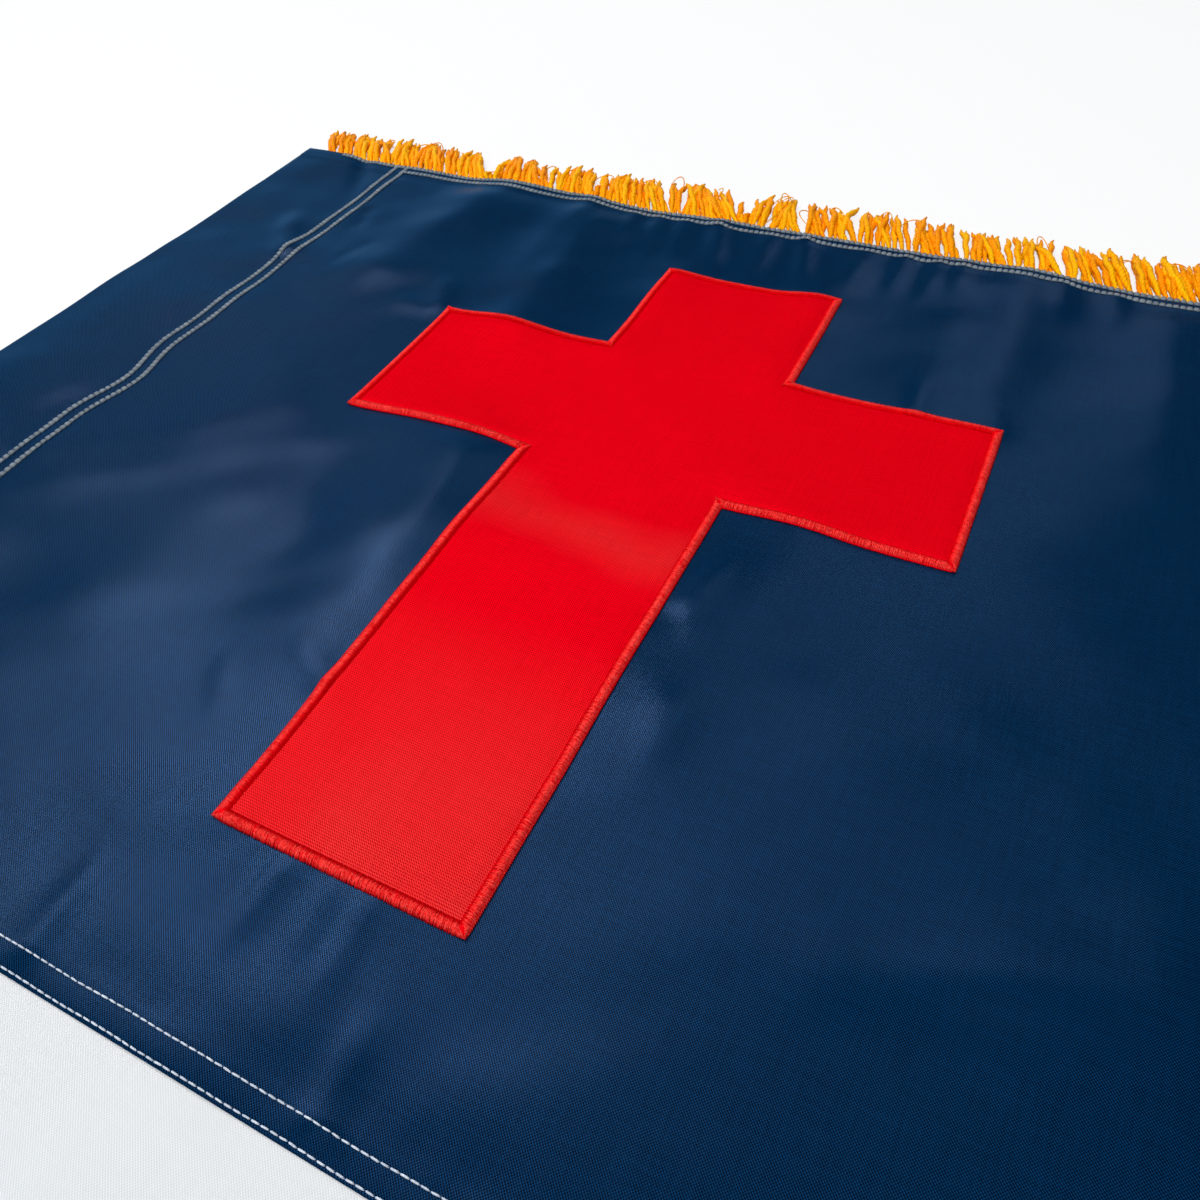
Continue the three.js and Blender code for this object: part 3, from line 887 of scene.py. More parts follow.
def wovenFinish(name, look):
    # a plain weave: yarns that cross over and under, with the over-lying crowns painted lighter as
    # painted highlight and the gaps painted darker as painted shade
    material, tree = startFinish(name)
    uv, along, across = placeOn(tree, "cloth")
    turnsPerMetre = math.pi / look["yarn"]
    warpAngle = addMath(tree, "MULTIPLY", along, turnsPerMetre)
    weftAngle = addMath(tree, "MULTIPLY", across, turnsPerMetre)
    warp, weft = (addMath(tree, "SINE", angle) for angle in (warpAngle, weftAngle))
    overWarp, overWeft = (addMath(tree, "COSINE", angle) for angle in (warpAngle, weftAngle))
    crossing = addMath(tree, "MULTIPLY", warp, weft)
    skew = addMath(tree, "MULTIPLY", overWarp, overWeft)
    pattern = addMath(tree, "MULTIPLY_ADD", skew, look["skew"], crossing)
    pattern = addMath(tree, "MULTIPLY_ADD", weft, look["rib"], pattern)
    scales = (weave["slubLong"], weave["slubThin"], 1), (weave["slubThin"], weave["slubLong"], 1)
    slubs = [noiseAt(tree, stretched(tree, uv, scale), weave["slubDetail"]) for scale in scales]
    slubs = addMath(tree, "ADD", *slubs)
    height = addMath(tree, "MULTIPLY_ADD", slubs, look["slub"], pattern)
    cloud = noiseAt(tree, uv, look["cloudScale"], weave["cloudDetail"])
    cloud = mapRange(tree, cloud, *weave["cloud"])
    # painted light: the crowns are painted paler towards the foot and in a wandering patch across the
    # stem, as painted sheen
    if "paintedSheen" in look:
        paintedSheen = mapRange(tree, across, *look["paintedSheen"])
        centre, reach, drift = look["sheen"]
        drifted = addMath(tree, "MULTIPLY_ADD", noiseAt(tree, uv, weave["driftScale"]), drift, across)
        fromSheen = addMath(tree, "ABSOLUTE", addMath(tree, "SUBTRACT", drifted, centre + drift / 2))
        paintedSheen = addMath(tree, "ADD", paintedSheen, mapRange(tree, fromSheen, 0.0, reach, weave["sheen"], 0.0))
        cloud = addMath(tree, "MULTIPLY", paintedSheen, mapRange(tree, cloud, 0.0, 1.0, weave["sheenLeast"]))
    crown = mixColours(tree, cloud, look["crown"], look["palerCrown"])
    # painted light: each yarn goes from the gap's painted shade to the crown's painted highlight with
    # the weave's height
    lit = mapRange(tree, addMath(tree, "MULTIPLY_ADD", slubs, look["streaks"], pattern), *weave["lit"])
    endFinish(tree, mixColours(tree, lit, look["gap"], crown), height, look)
    return material


nylonWeave = dict(yarn=0.00043, skew=0.25, rib=0.0, slub=0.2, streaks=0.4)

blueNylon = wovenFinish("blueNylon", dict(
    nylonWeave,
    depth=0.000018,
    cloudScale=7.0,
    gap=colour(0, 2, 12),
    crown=colour(6, 56, 98),
    palerCrown=colour(11, 62, 104),
    roughness=0.20,
    metallic=0.25,  # dyed nylon shines in its own colour
    specular=0.13,
    specularTint=(0.50, 0.49, 0.58, 1),
))

whiteNylon = wovenFinish("whiteNylon", dict(
    nylonWeave,
    depth=0.000025,
    cloudScale=6.0,
    gap=colour(211, 211, 210),
    crown=colour(229, 229, 228),
    palerCrown=colour(233, 233, 232),
    roughness=0.5,
    metallic=0.0,
    specular=0.25,
    specularTint=(1, 1, 1, 1),
))

redCloth = wovenFinish("redCloth", dict(
    yarn=0.00042,
    skew=0.45,
    rib=0.6,
    slub=0.3,
    streaks=0.5,
    paintedSheen=(0.29, 0.40),           # painted sheen: the weave's crowns are painted paler towards the foot
    sheen=(0.243, 0.021, 0.06),  # and a painted highlight in a wandering patch across the stem, where a fold catches the light
    depth=0.000035,
    cloudScale=9.0,
    gap=colour(180, 0, 5),
    crown=colour(252, 3, 28),
    # here the paler crown is also the colour of the painted sheen and highlight
    palerCrown=colour(238, 72, 68),
    roughness=0.36,
    metallic=0.12,
    specular=0.0,
    specularTint=(1, 0.0, 0.06, 1),
))


threads = dict(
    fibreDetail=2.0,
    tone=(0.4, 0.6),    # values of the fibre noise, from the deep colour to the light one
    strandRelief=0.35,
)


def threadFinish(name, look):
    # tone differs from one stitch or cord to the next
    material, tree = startFinish(name)
    tone = addNode(tree, "ShaderNodeAttribute", output="Fac", attribute_name="tone")
    inPiece = addNode(tree, "ShaderNodeTexCoord", output="Object")
    fibre = noiseAt(tree, inPiece, look["fibreScale"], threads["fibreDetail"])
    deepest, lightest = threads["tone"]
    share = addMath(tree, "MULTIPLY_ADD", tone, look["toneShare"], fibre)
    share = mapRange(tree, share, deepest, lightest + look["toneShare"])
    height = fibre
    if "strands" in look:
        uv, along, across = placeOn(tree, "strand")
        lengthwise = addMath(tree, "MULTIPLY", along, look["strandTwist"])
        turn = addMath(tree, "ADD", lengthwise, addMath(tree, "MULTIPLY", across, look["strands"]))
        strands = addMath(tree, "SINE", addMath(tree, "MULTIPLY", turn, 2 * math.pi))
        height = addMath(tree, "MULTIPLY_ADD", strands, threads["strandRelief"], fibre)
        # painted light: the strands' ridges are painted lighter and their grooves darker, along the
        # twist
        share = addMath(tree, "MULTIPLY_ADD", strands, look["strandPaintedLight"], share)
    # painted light: the thread is painted lightest near its crest and darker towards the groove, as
    # painted highlight and painted shade
    if "crest" in look:
        uv, along, across = placeOn(tree, "strand")
        fromCrest = addMath(tree, "ABSOLUTE", addMath(tree, "SUBTRACT", along, look["crest"]))
        paintedCrestLight = mapRange(tree, fromCrest, *look["crestReach"], 1.0, 0.0)
        share = addMath(tree, "MULTIPLY", share, paintedCrestLight)
    base = mixColours(tree, share, look["deep"], look["light"])
    endFinish(tree, base, height, look)
    return material


goldCord = threadFinish("goldCord", dict(
    fibreScale=600.0,
    toneShare=0.5,
    deep=colour(248, 132, 0),
    light=colour(255, 190, 6),
    strands=3.0,
    strandTwist=420.0,
    # how much lighter the strands' ridges are painted than their grooves
    strandPaintedLight=0.28,
    depth=0.00014,
    roughness=0.5,
    metallic=0.0,
    specular=0.08,
    specularTint=(1, 0.7, 0.1, 1),
))

satinThread = threadFinish("satinThread", dict(
    fibreScale=1500.0,
    toneShare=0.25,
    # light is the painted highlight on the crest, and deep the colour away from it, which the groove's
    # painted shade takes
    deep=colour(226, 1, 14),
    light=colour(255, 78, 70),
    crest=0.0034,                 # where the painted highlight sits, from the inner end of each stitch
    crestReach=(0.0008, 0.0021),  # painted brightest there, and painted deep by the groove as shade
    depth=0.00010,
    roughness=0.36,
    metallic=0.2,
    specular=0.05,
    specularTint=(1, 0.15, 0.1, 1),
))

plainThread = dict(
    fibreScale=1800.0,
    toneShare=0.4,
    depth=0.00006,
    roughness=0.5,
    metallic=0.0,
    specular=0.3,
    specularTint=(1, 1, 1, 1),
)
paleThread = threadFinish("paleThread", dict(
    plainThread, deep=colour(186, 194, 206), light=colour(222, 228, 236),
))
greyThread = threadFinish("greyThread", dict(
    plainThread, deep=colour(104, 112, 120), light=colour(134, 142, 148),
))


# Small pieces that the tree repeats. Each is a tube along a short run of points, in its own place:
# X is the way the row runs, Y points outwards and Z up.
def tubeMesh(name, points, radiusAt, sides):
    points = np.array(points, float)
    ways = unit(np.gradient(points, axis=0))
    side = unit(np.cross(ways, (0, 0, 1)))
    over = np.cross(side, ways)
    angles = np.arange(sides) * 2 * math.pi / sides
    travelled = np.concatenate([[0], np.cumsum(np.linalg.norm(np.diff(points, axis=0), axis=1))])
    verts, uvs = [], []
    for i, point in enumerate(points):
        share = travelled[i] / travelled[-1]
        for angle in angles:
            radius = radiusAt(share, angle)
            offset = side[i] * math.cos(angle) * radius + over[i] * math.sin(angle) * radius
            verts.append(point + offset)
            uvs.append((travelled[i], angle / (2 * math.pi)))
    faces = []
    last = (len(points) - 1) * sides
    for ring in range(0, last, sides):
        for k in range(sides):
            after = (k + 1) % sides
            faces.append((ring + k, ring + sides + k, ring + sides + after, ring + after))
    faces.append(tuple(range(sides)))
    faces.append(tuple(last + k for k in reversed(range(sides))))
    return meshFrom(name, verts, faces, uvs, "strand")


def pieceSet(name, meshes):
    collection = bpy.data.collections.new(name)
    bpy.context.scene.collection.children.link(collection)
    for i, mesh in enumerate(meshes):
        collection.objects.link(bpy.data.objects.new(f"{name}{i}", mesh))
    return collection


def putAway(collection):
    for piece in list(collection.objects):
        bpy.data.objects.remove(piece)
    bpy.data.collections.remove(collection)


def line(places, topAt, raised=0.0, size=None, lean=None, heading=None):
    # a run of (along, down) places laid on a surface
    along, down = np.array(places, float).T
    up = normalAt(along, down, topAt)
    points = place(along, down, topAt(along, down)) + up * raised
    heading = unit(np.gradient(points, axis=0) if heading is None else heading)
    size = np.ones((len(points), 3)) if size is None else size
    lean = np.zeros(len(points)) if lean is None else lean
    return dict(points=points, heading=heading, up=up, size=size, lean=lean)


def straight(start, end, step=0.0014):
    count = max(2, int(np.hypot(*np.subtract(end, start)) / step))
    return np.linspace(start, end, count)


print("lockstitch rows")
lockstitch = dict(
    pitch=0.0028,
    length=0.00262,
    arch=0.00016,
    sink=0.00034,     # the ends dive into the cloth
    diveSharpness=8,
    endSlim=0.45,     # and are thinner there
    slimSharpness=4,
    turn=0.05,
    sizeChange=0.05,
    raised=0.00016,
    strayWaves=(0.0048, 0.0083, 0.0150),
    straySpread=2,
)

# The kinds of row. The top and sleeve rows have a heavier thread that lies flatter.
seamRow = dict(sides=5, steps=6, thread=0.00029, stray=0.00014, widen=1.0, finish=paleThread)
sleeveRow = dict(seamRow, thread=0.00054, widen=3.0, finish=greyThread)
topRow = dict(sleeveRow, stray=0.00035)
fieldRow = dict(seamRow, sides=4, steps=4)


def wandering(start, end, size, seed):
    # a sewn row that strays a little to either side of its line
    places = straight(start, end)
    way = places[-1] - places[0]
    run = np.linalg.norm(places - places[0], axis=1)
    waves = lockstitch["strayWaves"]
    phases = np.random.default_rng(seed).uniform(0, 2 * math.pi, len(waves))
    stray = sum(np.sin(run / wave + phase) for wave, phase in zip(waves, phases))
    stray = stray / lockstitch["straySpread"]
    return places + np.array((-way[1], way[0])) / np.linalg.norm(way) * size * stray[:, None]


def stitchMesh(name, kind):
    reach = lockstitch["length"] / 2
    points = []
    for x in np.linspace(-1, 1, kind["steps"]):
        dive = lockstitch["sink"] * x ** lockstitch["diveSharpness"]
        points.append((reach * x, 0, lockstitch["arch"] * (1 - x * x) - dive))

    def radiusAt(share, angle):
        fromMiddle = abs(2 * share - 1)
        return kind["thread"] * (1 - lockstitch["endSlim"] * fromMiddle ** lockstitch["slimSharpness"])

    return tubeMesh(name, points, radiusAt, kind["sides"])


def sewRows(name, rows, topAt, kind, seed):
    stitches = pieceSet(name + "Stitch", [stitchMesh(name + "Stitch", kind)])
    lines = []
    for i, (start, end) in enumerate(rows):
        places = wandering(start, end, kind["stray"], seed + i)
        size = np.tile((1.0, kind["widen"], 1.0), (len(places), 1))
        lines.append(line(places, topAt, lockstitch["raised"], size=size))
    sewn = setAlong(name, lines, stitches, kind["finish"], {
        "Pitch": lockstitch["pitch"],
        "Turn": lockstitch["turn"],
        "Size Change": lockstitch["sizeChange"],
        "Seed": seed,
    })
    putAway(stitches)
    return sewn


rowEnds = dict(
    atTop=0.0015,
    atEdge=0.002,
    afterSleeve=0.002,
    belowSeam=0.003,
    outerStart=0.030,  # the outer row starts on the sleeve
)
afterSleeve = sleeveInner + rowEnds["afterSleeve"]
edgeIn, belowSeam = rowEnds["atEdge"], foot + rowEnds["belowSeam"]

cantonSleeveStitches = sewRows("cantonSleeveStitches", [
    ((at, rowEnds["atTop"]), (at, foot - edgeIn)) for at in (sleeveOuter, sleeveInner)
], cantonTop, sleeveRow, 101)
cantonTopStitches = sewRows("cantonTopStitches", [
    ((rowEnds["outerStart"], hemOuter), (fly - edgeIn, hemOuter)),
    ((afterSleeve, hem), (fly - edgeIn, hem)),
], cantonTop, topRow, 102)
seamStitches = sewRows("seamStitches", [
    ((edgeIn, footOuter), (flyOuter, footOuter)),
    ((afterSleeve, footSeam), (flySeam, footSeam)),
    ((flyOuter, edgeIn), (flyOuter, footOuter)),
    ((flySeam, hemOuter), (flySeam, footSeam)),
], cantonTop, seamRow, 103)
fieldSleeveStitches = sewRows("fieldSleeveStitches", [
    ((at, belowSeam), (at, lowEdge - edgeIn)) for at in (sleeveOuter, sleeveInner)
], fieldTop, fieldRow, 104)
fieldHemStitches = sewRows("fieldHemStitches", [
    ((fly + edgeIn, hemOuter), (farOuter, hemOuter)),
    ((fly + edgeIn, hem), (farHem, hem)),
    ((farOuter, hemOuter), (farOuter, lowOuter)),
    ((farHem, hem), (farHem, lowHem)),
    ((rowEnds["outerStart"], lowOuter), (farOuter, lowOuter)),
    ((afterSleeve, lowHem), (farHem, lowHem)),
], fieldTop, fieldRow, 105)

print("satin border of the cross")
satin = dict(
    width=0.0038,
    pitch=0.00033,
    thread=0.00022,
    sides=4,
    steps=6,
    crest=0.00125,
    flatness=2.1,      # of the dome over the padding
    roundness=0.75,
    outerDrop=0.0007,
    innerDrop=0.00025,
    overhang=0.0002,
    stations=220,      # on each side of the cross
    cornerGap=0.0003,
    leastWidth=0.0004,
    leastHeight=0.35,  # of the shortest stitch in a mitred corner, as a share of a full one
    raised=0.0001,
    slide=0.00014,
    turn=0.15,
    tilt=0.03,
    sizeChange=0.05,
    bandSteps=8,
    bandReach=0.94,
    bandStep=0.0022,
    bandSink=0.0001,
)


def satinProfile(across):
    # height over the cloth, from -1 at the inner edge to 1 at the outer one
    dome = np.clip(1 - abs(across) ** satin["flatness"], 0, 1) ** satin["roundness"]
    drop = satin["outerDrop"] * softStep(across) + satin["innerDrop"] * softStep(-across)
    return satin["crest"] * dome - drop


def satinThreadMesh(name):
    reach = satin["width"] / 2 + satin["overhang"]
    run = np.sin(np.linspace(-math.pi / 2, math.pi / 2, satin["steps"]))
    points = [(0, reach * x, float(satinProfile(x))) for x in run]
    return tubeMesh(name, points, lambda share, angle: satin["thread"], satin["sides"])


def crossBaseTop(along, down):
    # the cross's own face, carried on past its edge for the border to be set on
    return cantonTop(along, down) + crossCloth["gap"] + crossCloth["thickness"]


def satinLines():
    sides = list(crossSides())
    lines = []
    width = satin["width"]
    for i, (start, end, way, inwards) in enumerate(sides):
        before, after = sides[i - 1][2], sides[(i + 1) % len(sides)][2]
        opensBefore = np.cross(before, way) < 0
        opensAfter = np.cross(way, after) < 0
        length = np.linalg.norm(end - start)
        first = -width if opensBefore else satin["cornerGap"]
        last = length + (width if opensAfter else -satin["cornerGap"])
        s = np.linspace(first, last, satin["stations"])
        nearest = np.zeros_like(s)
        furthest = np.full_like(s, width)
        if opensBefore:
            nearest = np.maximum(nearest, -s)
        else:
            furthest = np.minimum(furthest, s)
        if opensAfter:
            nearest = np.maximum(nearest, s - length)
        else:
            furthest = np.minimum(furthest, length - s)
        centre = (nearest + furthest) / 2
        span = np.maximum(furthest - nearest, satin["leastWidth"]) / width
        places = start + way * s[:, None] + inwards * centre[:, None]
        heading = np.tile((way[0], -way[1], 0.0), (len(s), 1))
        tall = satin["leastHeight"] + (1 - satin["leastHeight"]) * span
        size = np.stack([np.ones_like(s), span, tall], -1)
        lines.append(line(places, crossBaseTop, satin["raised"], size=size, heading=heading))
    return lines


satinStitches = pieceSet("satinStitch", [satinThreadMesh("satinStitch")])
satinBorder = setAlong("satinBorder", satinLines(), satinStitches, satinThread, {
    "Pitch": satin["pitch"],
    "Slide": satin["slide"],
    "Turn": satin["turn"],
    "Tilt": satin["tilt"],
    "Size Change": satin["sizeChange"],
    "Seed": 7,
})
putAway(satinStitches)


def satinPadding():
    # the padding that the satin threads cover: a closed band with mitred corners
    across = np.linspace(-satin["bandReach"], satin["bandReach"], satin["bandSteps"] + 1)
    sides = list(crossSides())
    places = []
    for i, (start, end, way, inwards) in enumerate(sides):
        before, after = sides[i - 1][3], sides[(i + 1) % len(sides)][3]
        depth = (1 - across) / 2 * satin["width"]
        first = start + (inwards + before) * depth[:, None]
        last = end + (inwards + after) * depth[:, None]
        count = max(2, int(np.linalg.norm(end - start) / satin["bandStep"]))
        share = (np.arange(count) / count)[:, None, None]
        places.append(first * (1 - share) + last * share)
    places = np.concatenate(places)
    along, down = places[..., 0], places[..., 1]
    base = crossBaseTop(along, down)
    face = place(along, down, base + satinProfile(across) - satin["bandSink"])
    back = place(along, down, base - crossCloth["gap"] - crossCloth["thickness"] / 2 + 0 * across)
    ring = np.concatenate([face, back[:, ::-1]], axis=1)
    count, around = ring.shape[:2]
    number = np.arange(count * around).reshape(count, around)
    after = np.roll(number, -1, axis=0)
    quads = np.stack([number, after, np.roll(after, -1, axis=1), np.roll(number, -1, axis=1)], -1)
    mesh = meshFrom("satinPadding", ring, quads.reshape(-1, 4).tolist())
    mesh.materials.append(satinThread)
    return newPiece("satinPadding", mesh)


padding = satinPadding()

print("gold fringe")
fringe = dict(
    denseTo=0.300,
    reach=0.0345,
    radius=0.00148,
    plies=0.14,        # how deep the groove between the two plies is
    twistPitch=0.0085,
    rootIn=0.0035,
    rootHeight=0.0010,
    leanAtHoist=0.50,  # the cords by the sleeve lie over towards the hoist
    leanAtSeam=0.26,
    farLean=0.10,
    sway=0.038,        # and wander to either side
    swayWaves=(0.0061, 0.0107, 0.0173, 0.041),
    swaySpread=2.4,
    ragged=0.03,       # how much their lengths differ along the edge
    raggedWaves=(0.023, 0.0091),
    leanLonger=0.6,    # leaning cords are longer, by this share of the lean
    shortShare=0.3,    # what is left of a short cord
    lineStep=0.002,
    slide=0.0005,
    sizeChange=0.05,
    start=0.016,
    cornerIn=0.001,
    cornerRadius=0.0045,
    cornerFan=(0.14, 0.10),  # how far from each edge a corner's fan starts and ends
    cornerStations=24,
    hidden=0.010,
    headingHeight=0.0010,
    headingUnder=0.0002,
    headingOut=0.0006,
    headingStep=0.012,
    headingStart=0.004,
    headingEnd=0.002,
    flyHeadingEnd=0.012,
)

# Layers of cords: pitch, and how far a cord turns out of line
layers = dict(
    plain=(0.0031, 0.08),
    matted=(0.0023, 0.05),      # towards the sleeve the cords are matted together
    mattedOver=(0.0046, 0.16),  # looser cords lie over the first layer
    nearOver=(0.0062, 0.22),
    farOver=(0.0124, 0.22),
    corner=(0.00082, 0.05),
    nearWisps=(0.016, 0.4),
    farWisps=(0.024, 0.4),
)

cord = dict(
    lengths=(0.84, 1.0),   # least and most, as shares of the reach
    bend=0.0012,
    hook=0.0020,
    waves=(1.6, 3.2),
    waveSize=0.0007,
    lifts=(0.0002, 0.0018),
    liftOver=1.05,         # the middle's lift is over a little before the tip
    tips=(0.0, 0.0020),
    tipShare=0.6,          # how much of a looser layer's rise its tips share
    twists=(0.85, 1.2),
    radii=(0.88, 1.12),
    rootShare=0.14,        # of the length, over which it rises from the heading
    rootSlim=0.5,
    slimShare=0.42,
    pointed=0.75,
    pointFrom=0.78,
    pointOver=0.26,
    pointBlunt=1.5,
)

wisp = dict(
    steps=15,
    reaches=(0.7, 1.08),
    widths=(0.002, 0.007),
    closings=(0.2, 1.0),   # how far the strand comes round to close its loop
    narrowing=0.5,
    turnBack=0.32,
    height=0.0030,
    rise=0.0022,
    rises=(0.5, 1.4),
    radius=0.0003,
    sides=4,
)


def cordMesh(name, sides, steps, seed, above=0.0):
    rng = np.random.default_rng(seed)
    reach = fringe["reach"] * rng.uniform(*cord["lengths"])
    bend, hook = rng.normal(0, cord["bend"]), rng.normal(0, cord["hook"])
    waves, phase = rng.uniform(*cord["waves"]), rng.uniform(0, 2 * math.pi)
    lift, tip = rng.uniform(*cord["lifts"]), rng.uniform(*cord["tips"])
    twist = 2 * math.pi / (fringe["twistPitch"] * rng.uniform(*cord["twists"]))
    radius = fringe["radius"] * rng.uniform(*cord["radii"])
    grooved = radius * (1 + fringe["plies"])
    run = np.linspace(0, 1, steps)
    aside = bend * np.sin(math.pi * run) + hook * run**3
    aside = aside + cord["waveSize"] * run * np.sin(2 * math.pi * waves * run + phase)
    height = fringe["rootHeight"] + (grooved - fringe["rootHeight"]) * softStep(run / cord["rootShare"])
    height = height + (lift + above) * np.sin(math.pi * np.clip(run * cord["liftOver"], 0, 1))
    height = height + (tip + cord["tipShare"] * above) * run**2
    points = np.stack([aside, -fringe["rootIn"] + (reach + fringe["rootIn"]) * run, height], -1)

    def radiusAt(share, angle):
        slim = cord["rootSlim"] + (1 - cord["rootSlim"]) * float(softStep(share / cord["slimShare"]))
        towardsTip = float(softStep((share - cord["pointFrom"]) / cord["pointOver"]))
        pointing = towardsTip ** cord["pointBlunt"]
        groove = 1 + fringe["plies"] * math.cos(2 * (angle - share * twist * reach - phase))
        return radius * slim * (1 - cord["pointed"] * pointing) * groove

    return tubeMesh(name, points, radiusAt, sides)


def wispMesh(name, seed):
    # a stray strand that has worked loose, as an open loop over the cords
    rng = np.random.default_rng(seed)
    run = np.linspace(0, 1, wisp["steps"])
    reach = fringe["reach"] * rng.uniform(*wisp["reaches"])
    width = rng.uniform(*wisp["widths"]) * rng.choice((-1, 1))
    closing = rng.uniform(*wisp["closings"])
    points = np.stack([
        width * np.sin(math.pi * run * (1 + wisp["narrowing"] * closing)),
        reach * np.sin(math.pi * run * (0.5 + wisp["turnBack"] * closing)),
        wisp["height"] + wisp["rise"] * np.sin(math.pi * run) * rng.uniform(*wisp["rises"]),
    ], -1)
    return tubeMesh(name, points, lambda share, angle: wisp["radius"], wisp["sides"])


# Where the cords part and show the surface between them: place along the top edge, width, strength
partings = [
    (0.133, 0.007, 0.11),
    (0.176, 0.005, 0.16),
    (0.251, 0.005, 0.18),
    (0.291, 0.008, 0.26),
    (0.352, 0.004, 0.12),
    (0.428, 0.004, 0.10),
    (0.455, 0.004, 0.12),
]

# Where cords are short: place, reach
thinPlaces = [(0.134, 0.0030), (0.203, 0.0022), (0.291, 0.0024)]


def edgeLine(start, end, firstLean, lastLean, partings=(), seed=0, bare=()):
    # cords hang outwards from a straight edge, which runs from start to end clockwise
    rng = np.random.default_rng(seed)
    places = straight(start, end, fringe["lineStep"])
    run = np.linalg.norm(places - places[0], axis=1)
    waves = fringe["swayWaves"]
    phases = rng.uniform(0, 2 * math.pi, len(waves))
    sway = sum(np.sin(run / wave + phase) for wave, phase in zip(waves, phases))
    sway = sway / fringe["swaySpread"]
    leaning = firstLean + (lastLean - firstLean) * run / run[-1] + fringe["sway"] * sway
    for centre, width, strength in partings:
        off = (places[:, 0] - centre) / width
        leaning -= strength * off * np.exp(0.5 - off**2 / 2)
    size = np.ones((len(run), 3))
    for wave, phase in zip(fringe["raggedWaves"], phases):
        size[:, 1] += fringe["ragged"] * np.sin(run / wave + phase)
    size[:, 1] /= np.cos(leaning * fringe["leanLonger"])
    for centre, reach in bare:
        size[abs(places[:, 0] - centre) < reach, 1] *= fringe["shortShare"]
    return line(places, lambda along, down: 0 * along, 0.0, size=size, lean=leaning)


def cornerLine(along, down, quarter):
    # cords fan out round a corner, clockwise, in one quarter of a turn
    first, last = fringe["cornerFan"]
    start, end = math.pi / 2 * quarter + first, math.pi / 2 * (quarter + 1) - last
    angles = np.linspace(start, end, fringe["cornerStations"])
    outwards = np.stack([np.sin(angles), np.cos(angles), np.zeros_like(angles)], -1)
    centre = place(np.array([along]), np.array([down]), 0.0)[0]
    points = centre + outwards * fringe["cornerRadius"]
    heading = np.stack([np.cos(angles), -np.sin(angles), np.zeros_like(angles)], -1)
    up = np.tile((0.0, 0.0, 1.0), (len(angles), 1))
    size = np.ones((len(angles), 3))
    return dict(points=points, heading=heading, up=up, size=size, lean=np.zeros(len(angles)))


def headingStrip(name, start, end, outwards):
    # the woven heading that the cords hang from, under the hem
    places = straight(start, end, fringe["headingStep"])
    rows = []
    for out, height in (
        (fringe["headingOut"], fringe["headingUnder"]),
        (fringe["headingOut"], fringe["headingHeight"]),
        (-fringe["hidden"], fringe["headingHeight"]),
        (-fringe["hidden"], fringe["headingUnder"]),
    ):
        along, down = (places + np.array(outwards) * out).T
        rows.append(place(along, down, height))
    ring = np.stack(rows, 1)
    count = len(ring)
    faces = [(4 * i + k, 4 * i + (k + 1) % 4, 4 * i + 4 + (k + 1) % 4, 4 * i + 4 + k)
             for i in range(count - 1) for k in range(4)]
    faces += [(3, 2, 1, 0), tuple(4 * (count - 1) + k for k in (0, 1, 2, 3))]
    mesh = meshFrom(name, ring, faces, smooth=False)
    mesh.materials.append(goldCord)
    return newPiece(name, mesh)


def joined(name, pieces):
    with bpy.context.temp_override(active_object=pieces[0], selected_editable_objects=pieces):
        bpy.ops.object.join()
    pieces[0].name = name
    return pieces[0]


# name, how many kinds, sides, steps, first seed, how far over the others it lies
fineCords, overCords, plainCords = (
    pieceSet(name, [cordMesh(f"{name}{i}", sides, steps, seed + i, above) for i in range(kinds)])
    for name, kinds, sides, steps, seed, above in (
        ("fineCord", 12, 8, 20, 200, 0.0),
        ("overCord", 9, 8, 18, 250, 0.0016),
        ("plainCord", 9, 7, 11, 300, 0.0),
    )
)
wisps = pieceSet("wisp", [wispMesh(f"wisp{i}", 400 + i) for i in range(9)])


def hangCords(name, lines, cords, layer, seed):
    pitch, turn = layers[layer]
    return setAlong(name, lines, cords, goldCord, {
        "Pitch": pitch,
        "Slide": fringe["slide"],
        "Turn": turn,
        "Size Change": fringe["sizeChange"],
        "Seed": seed,
    })


hoistLean, seamLean, farLean = fringe["leanAtHoist"], fringe["leanAtSeam"], fringe["farLean"]
firstCord, denseTo, rootIn = fringe["start"], fringe["denseTo"], fringe["rootIn"]
farStart = fly + layers["plain"][0]
leanBetween = hoistLean + (seamLean - hoistLean) * denseTo / fly
topDense = edgeLine((firstCord, 0), (denseTo, 0), hoistLean, leanBetween, partings, 1, thinPlaces)
topNear = edgeLine((denseTo, 0), (fly, 0), leanBetween, seamLean, partings, 5)
topFar = edgeLine((farStart, 0), (farEdge - rootIn, 0), seamLean, farLean, seed=2)
flyLine = edgeLine((farEdge, rootIn), (farEdge, lowEdge - rootIn), farLean, 0.0, seed=3)
lowLine = edgeLine((farEdge - rootIn, lowEdge), (firstCord, lowEdge), 0.0, -farLean, seed=4)
cornerIn = rootIn + fringe["cornerIn"]
corners = [
    cornerLine(farEdge - cornerIn, cornerIn, 0),
    cornerLine(farEdge - cornerIn, lowEdge - cornerIn, 1),
]
headingFrom, headingTo = afterSleeve + fringe["headingStart"], farEdge - fringe["headingEnd"]
flyHeadingEnd = fringe["flyHeadingEnd"]
fringeTop = joined("fringeTop", [
    hangCords("topCords", [topDense], fineCords, "matted", 20),
    hangCords("topOverCords", [topDense], overCords, "mattedOver", 30),
    hangCords("topNearCords", [topNear], fineCords, "plain", 21),
    hangCords("topNearOverCords", [topNear], overCords, "nearOver", 31),
    hangCords("topFarCords", [topFar], plainCords, "plain", 22),
    hangCords("topFarOverCords", [topFar], plainCords, "farOver", 32),
    hangCords("topWisps", [topDense, topNear, topFar], wisps, "nearWisps", 23),
    headingStrip("topHeading", (headingFrom, 0), (headingTo, 0), (0, -1)),
])
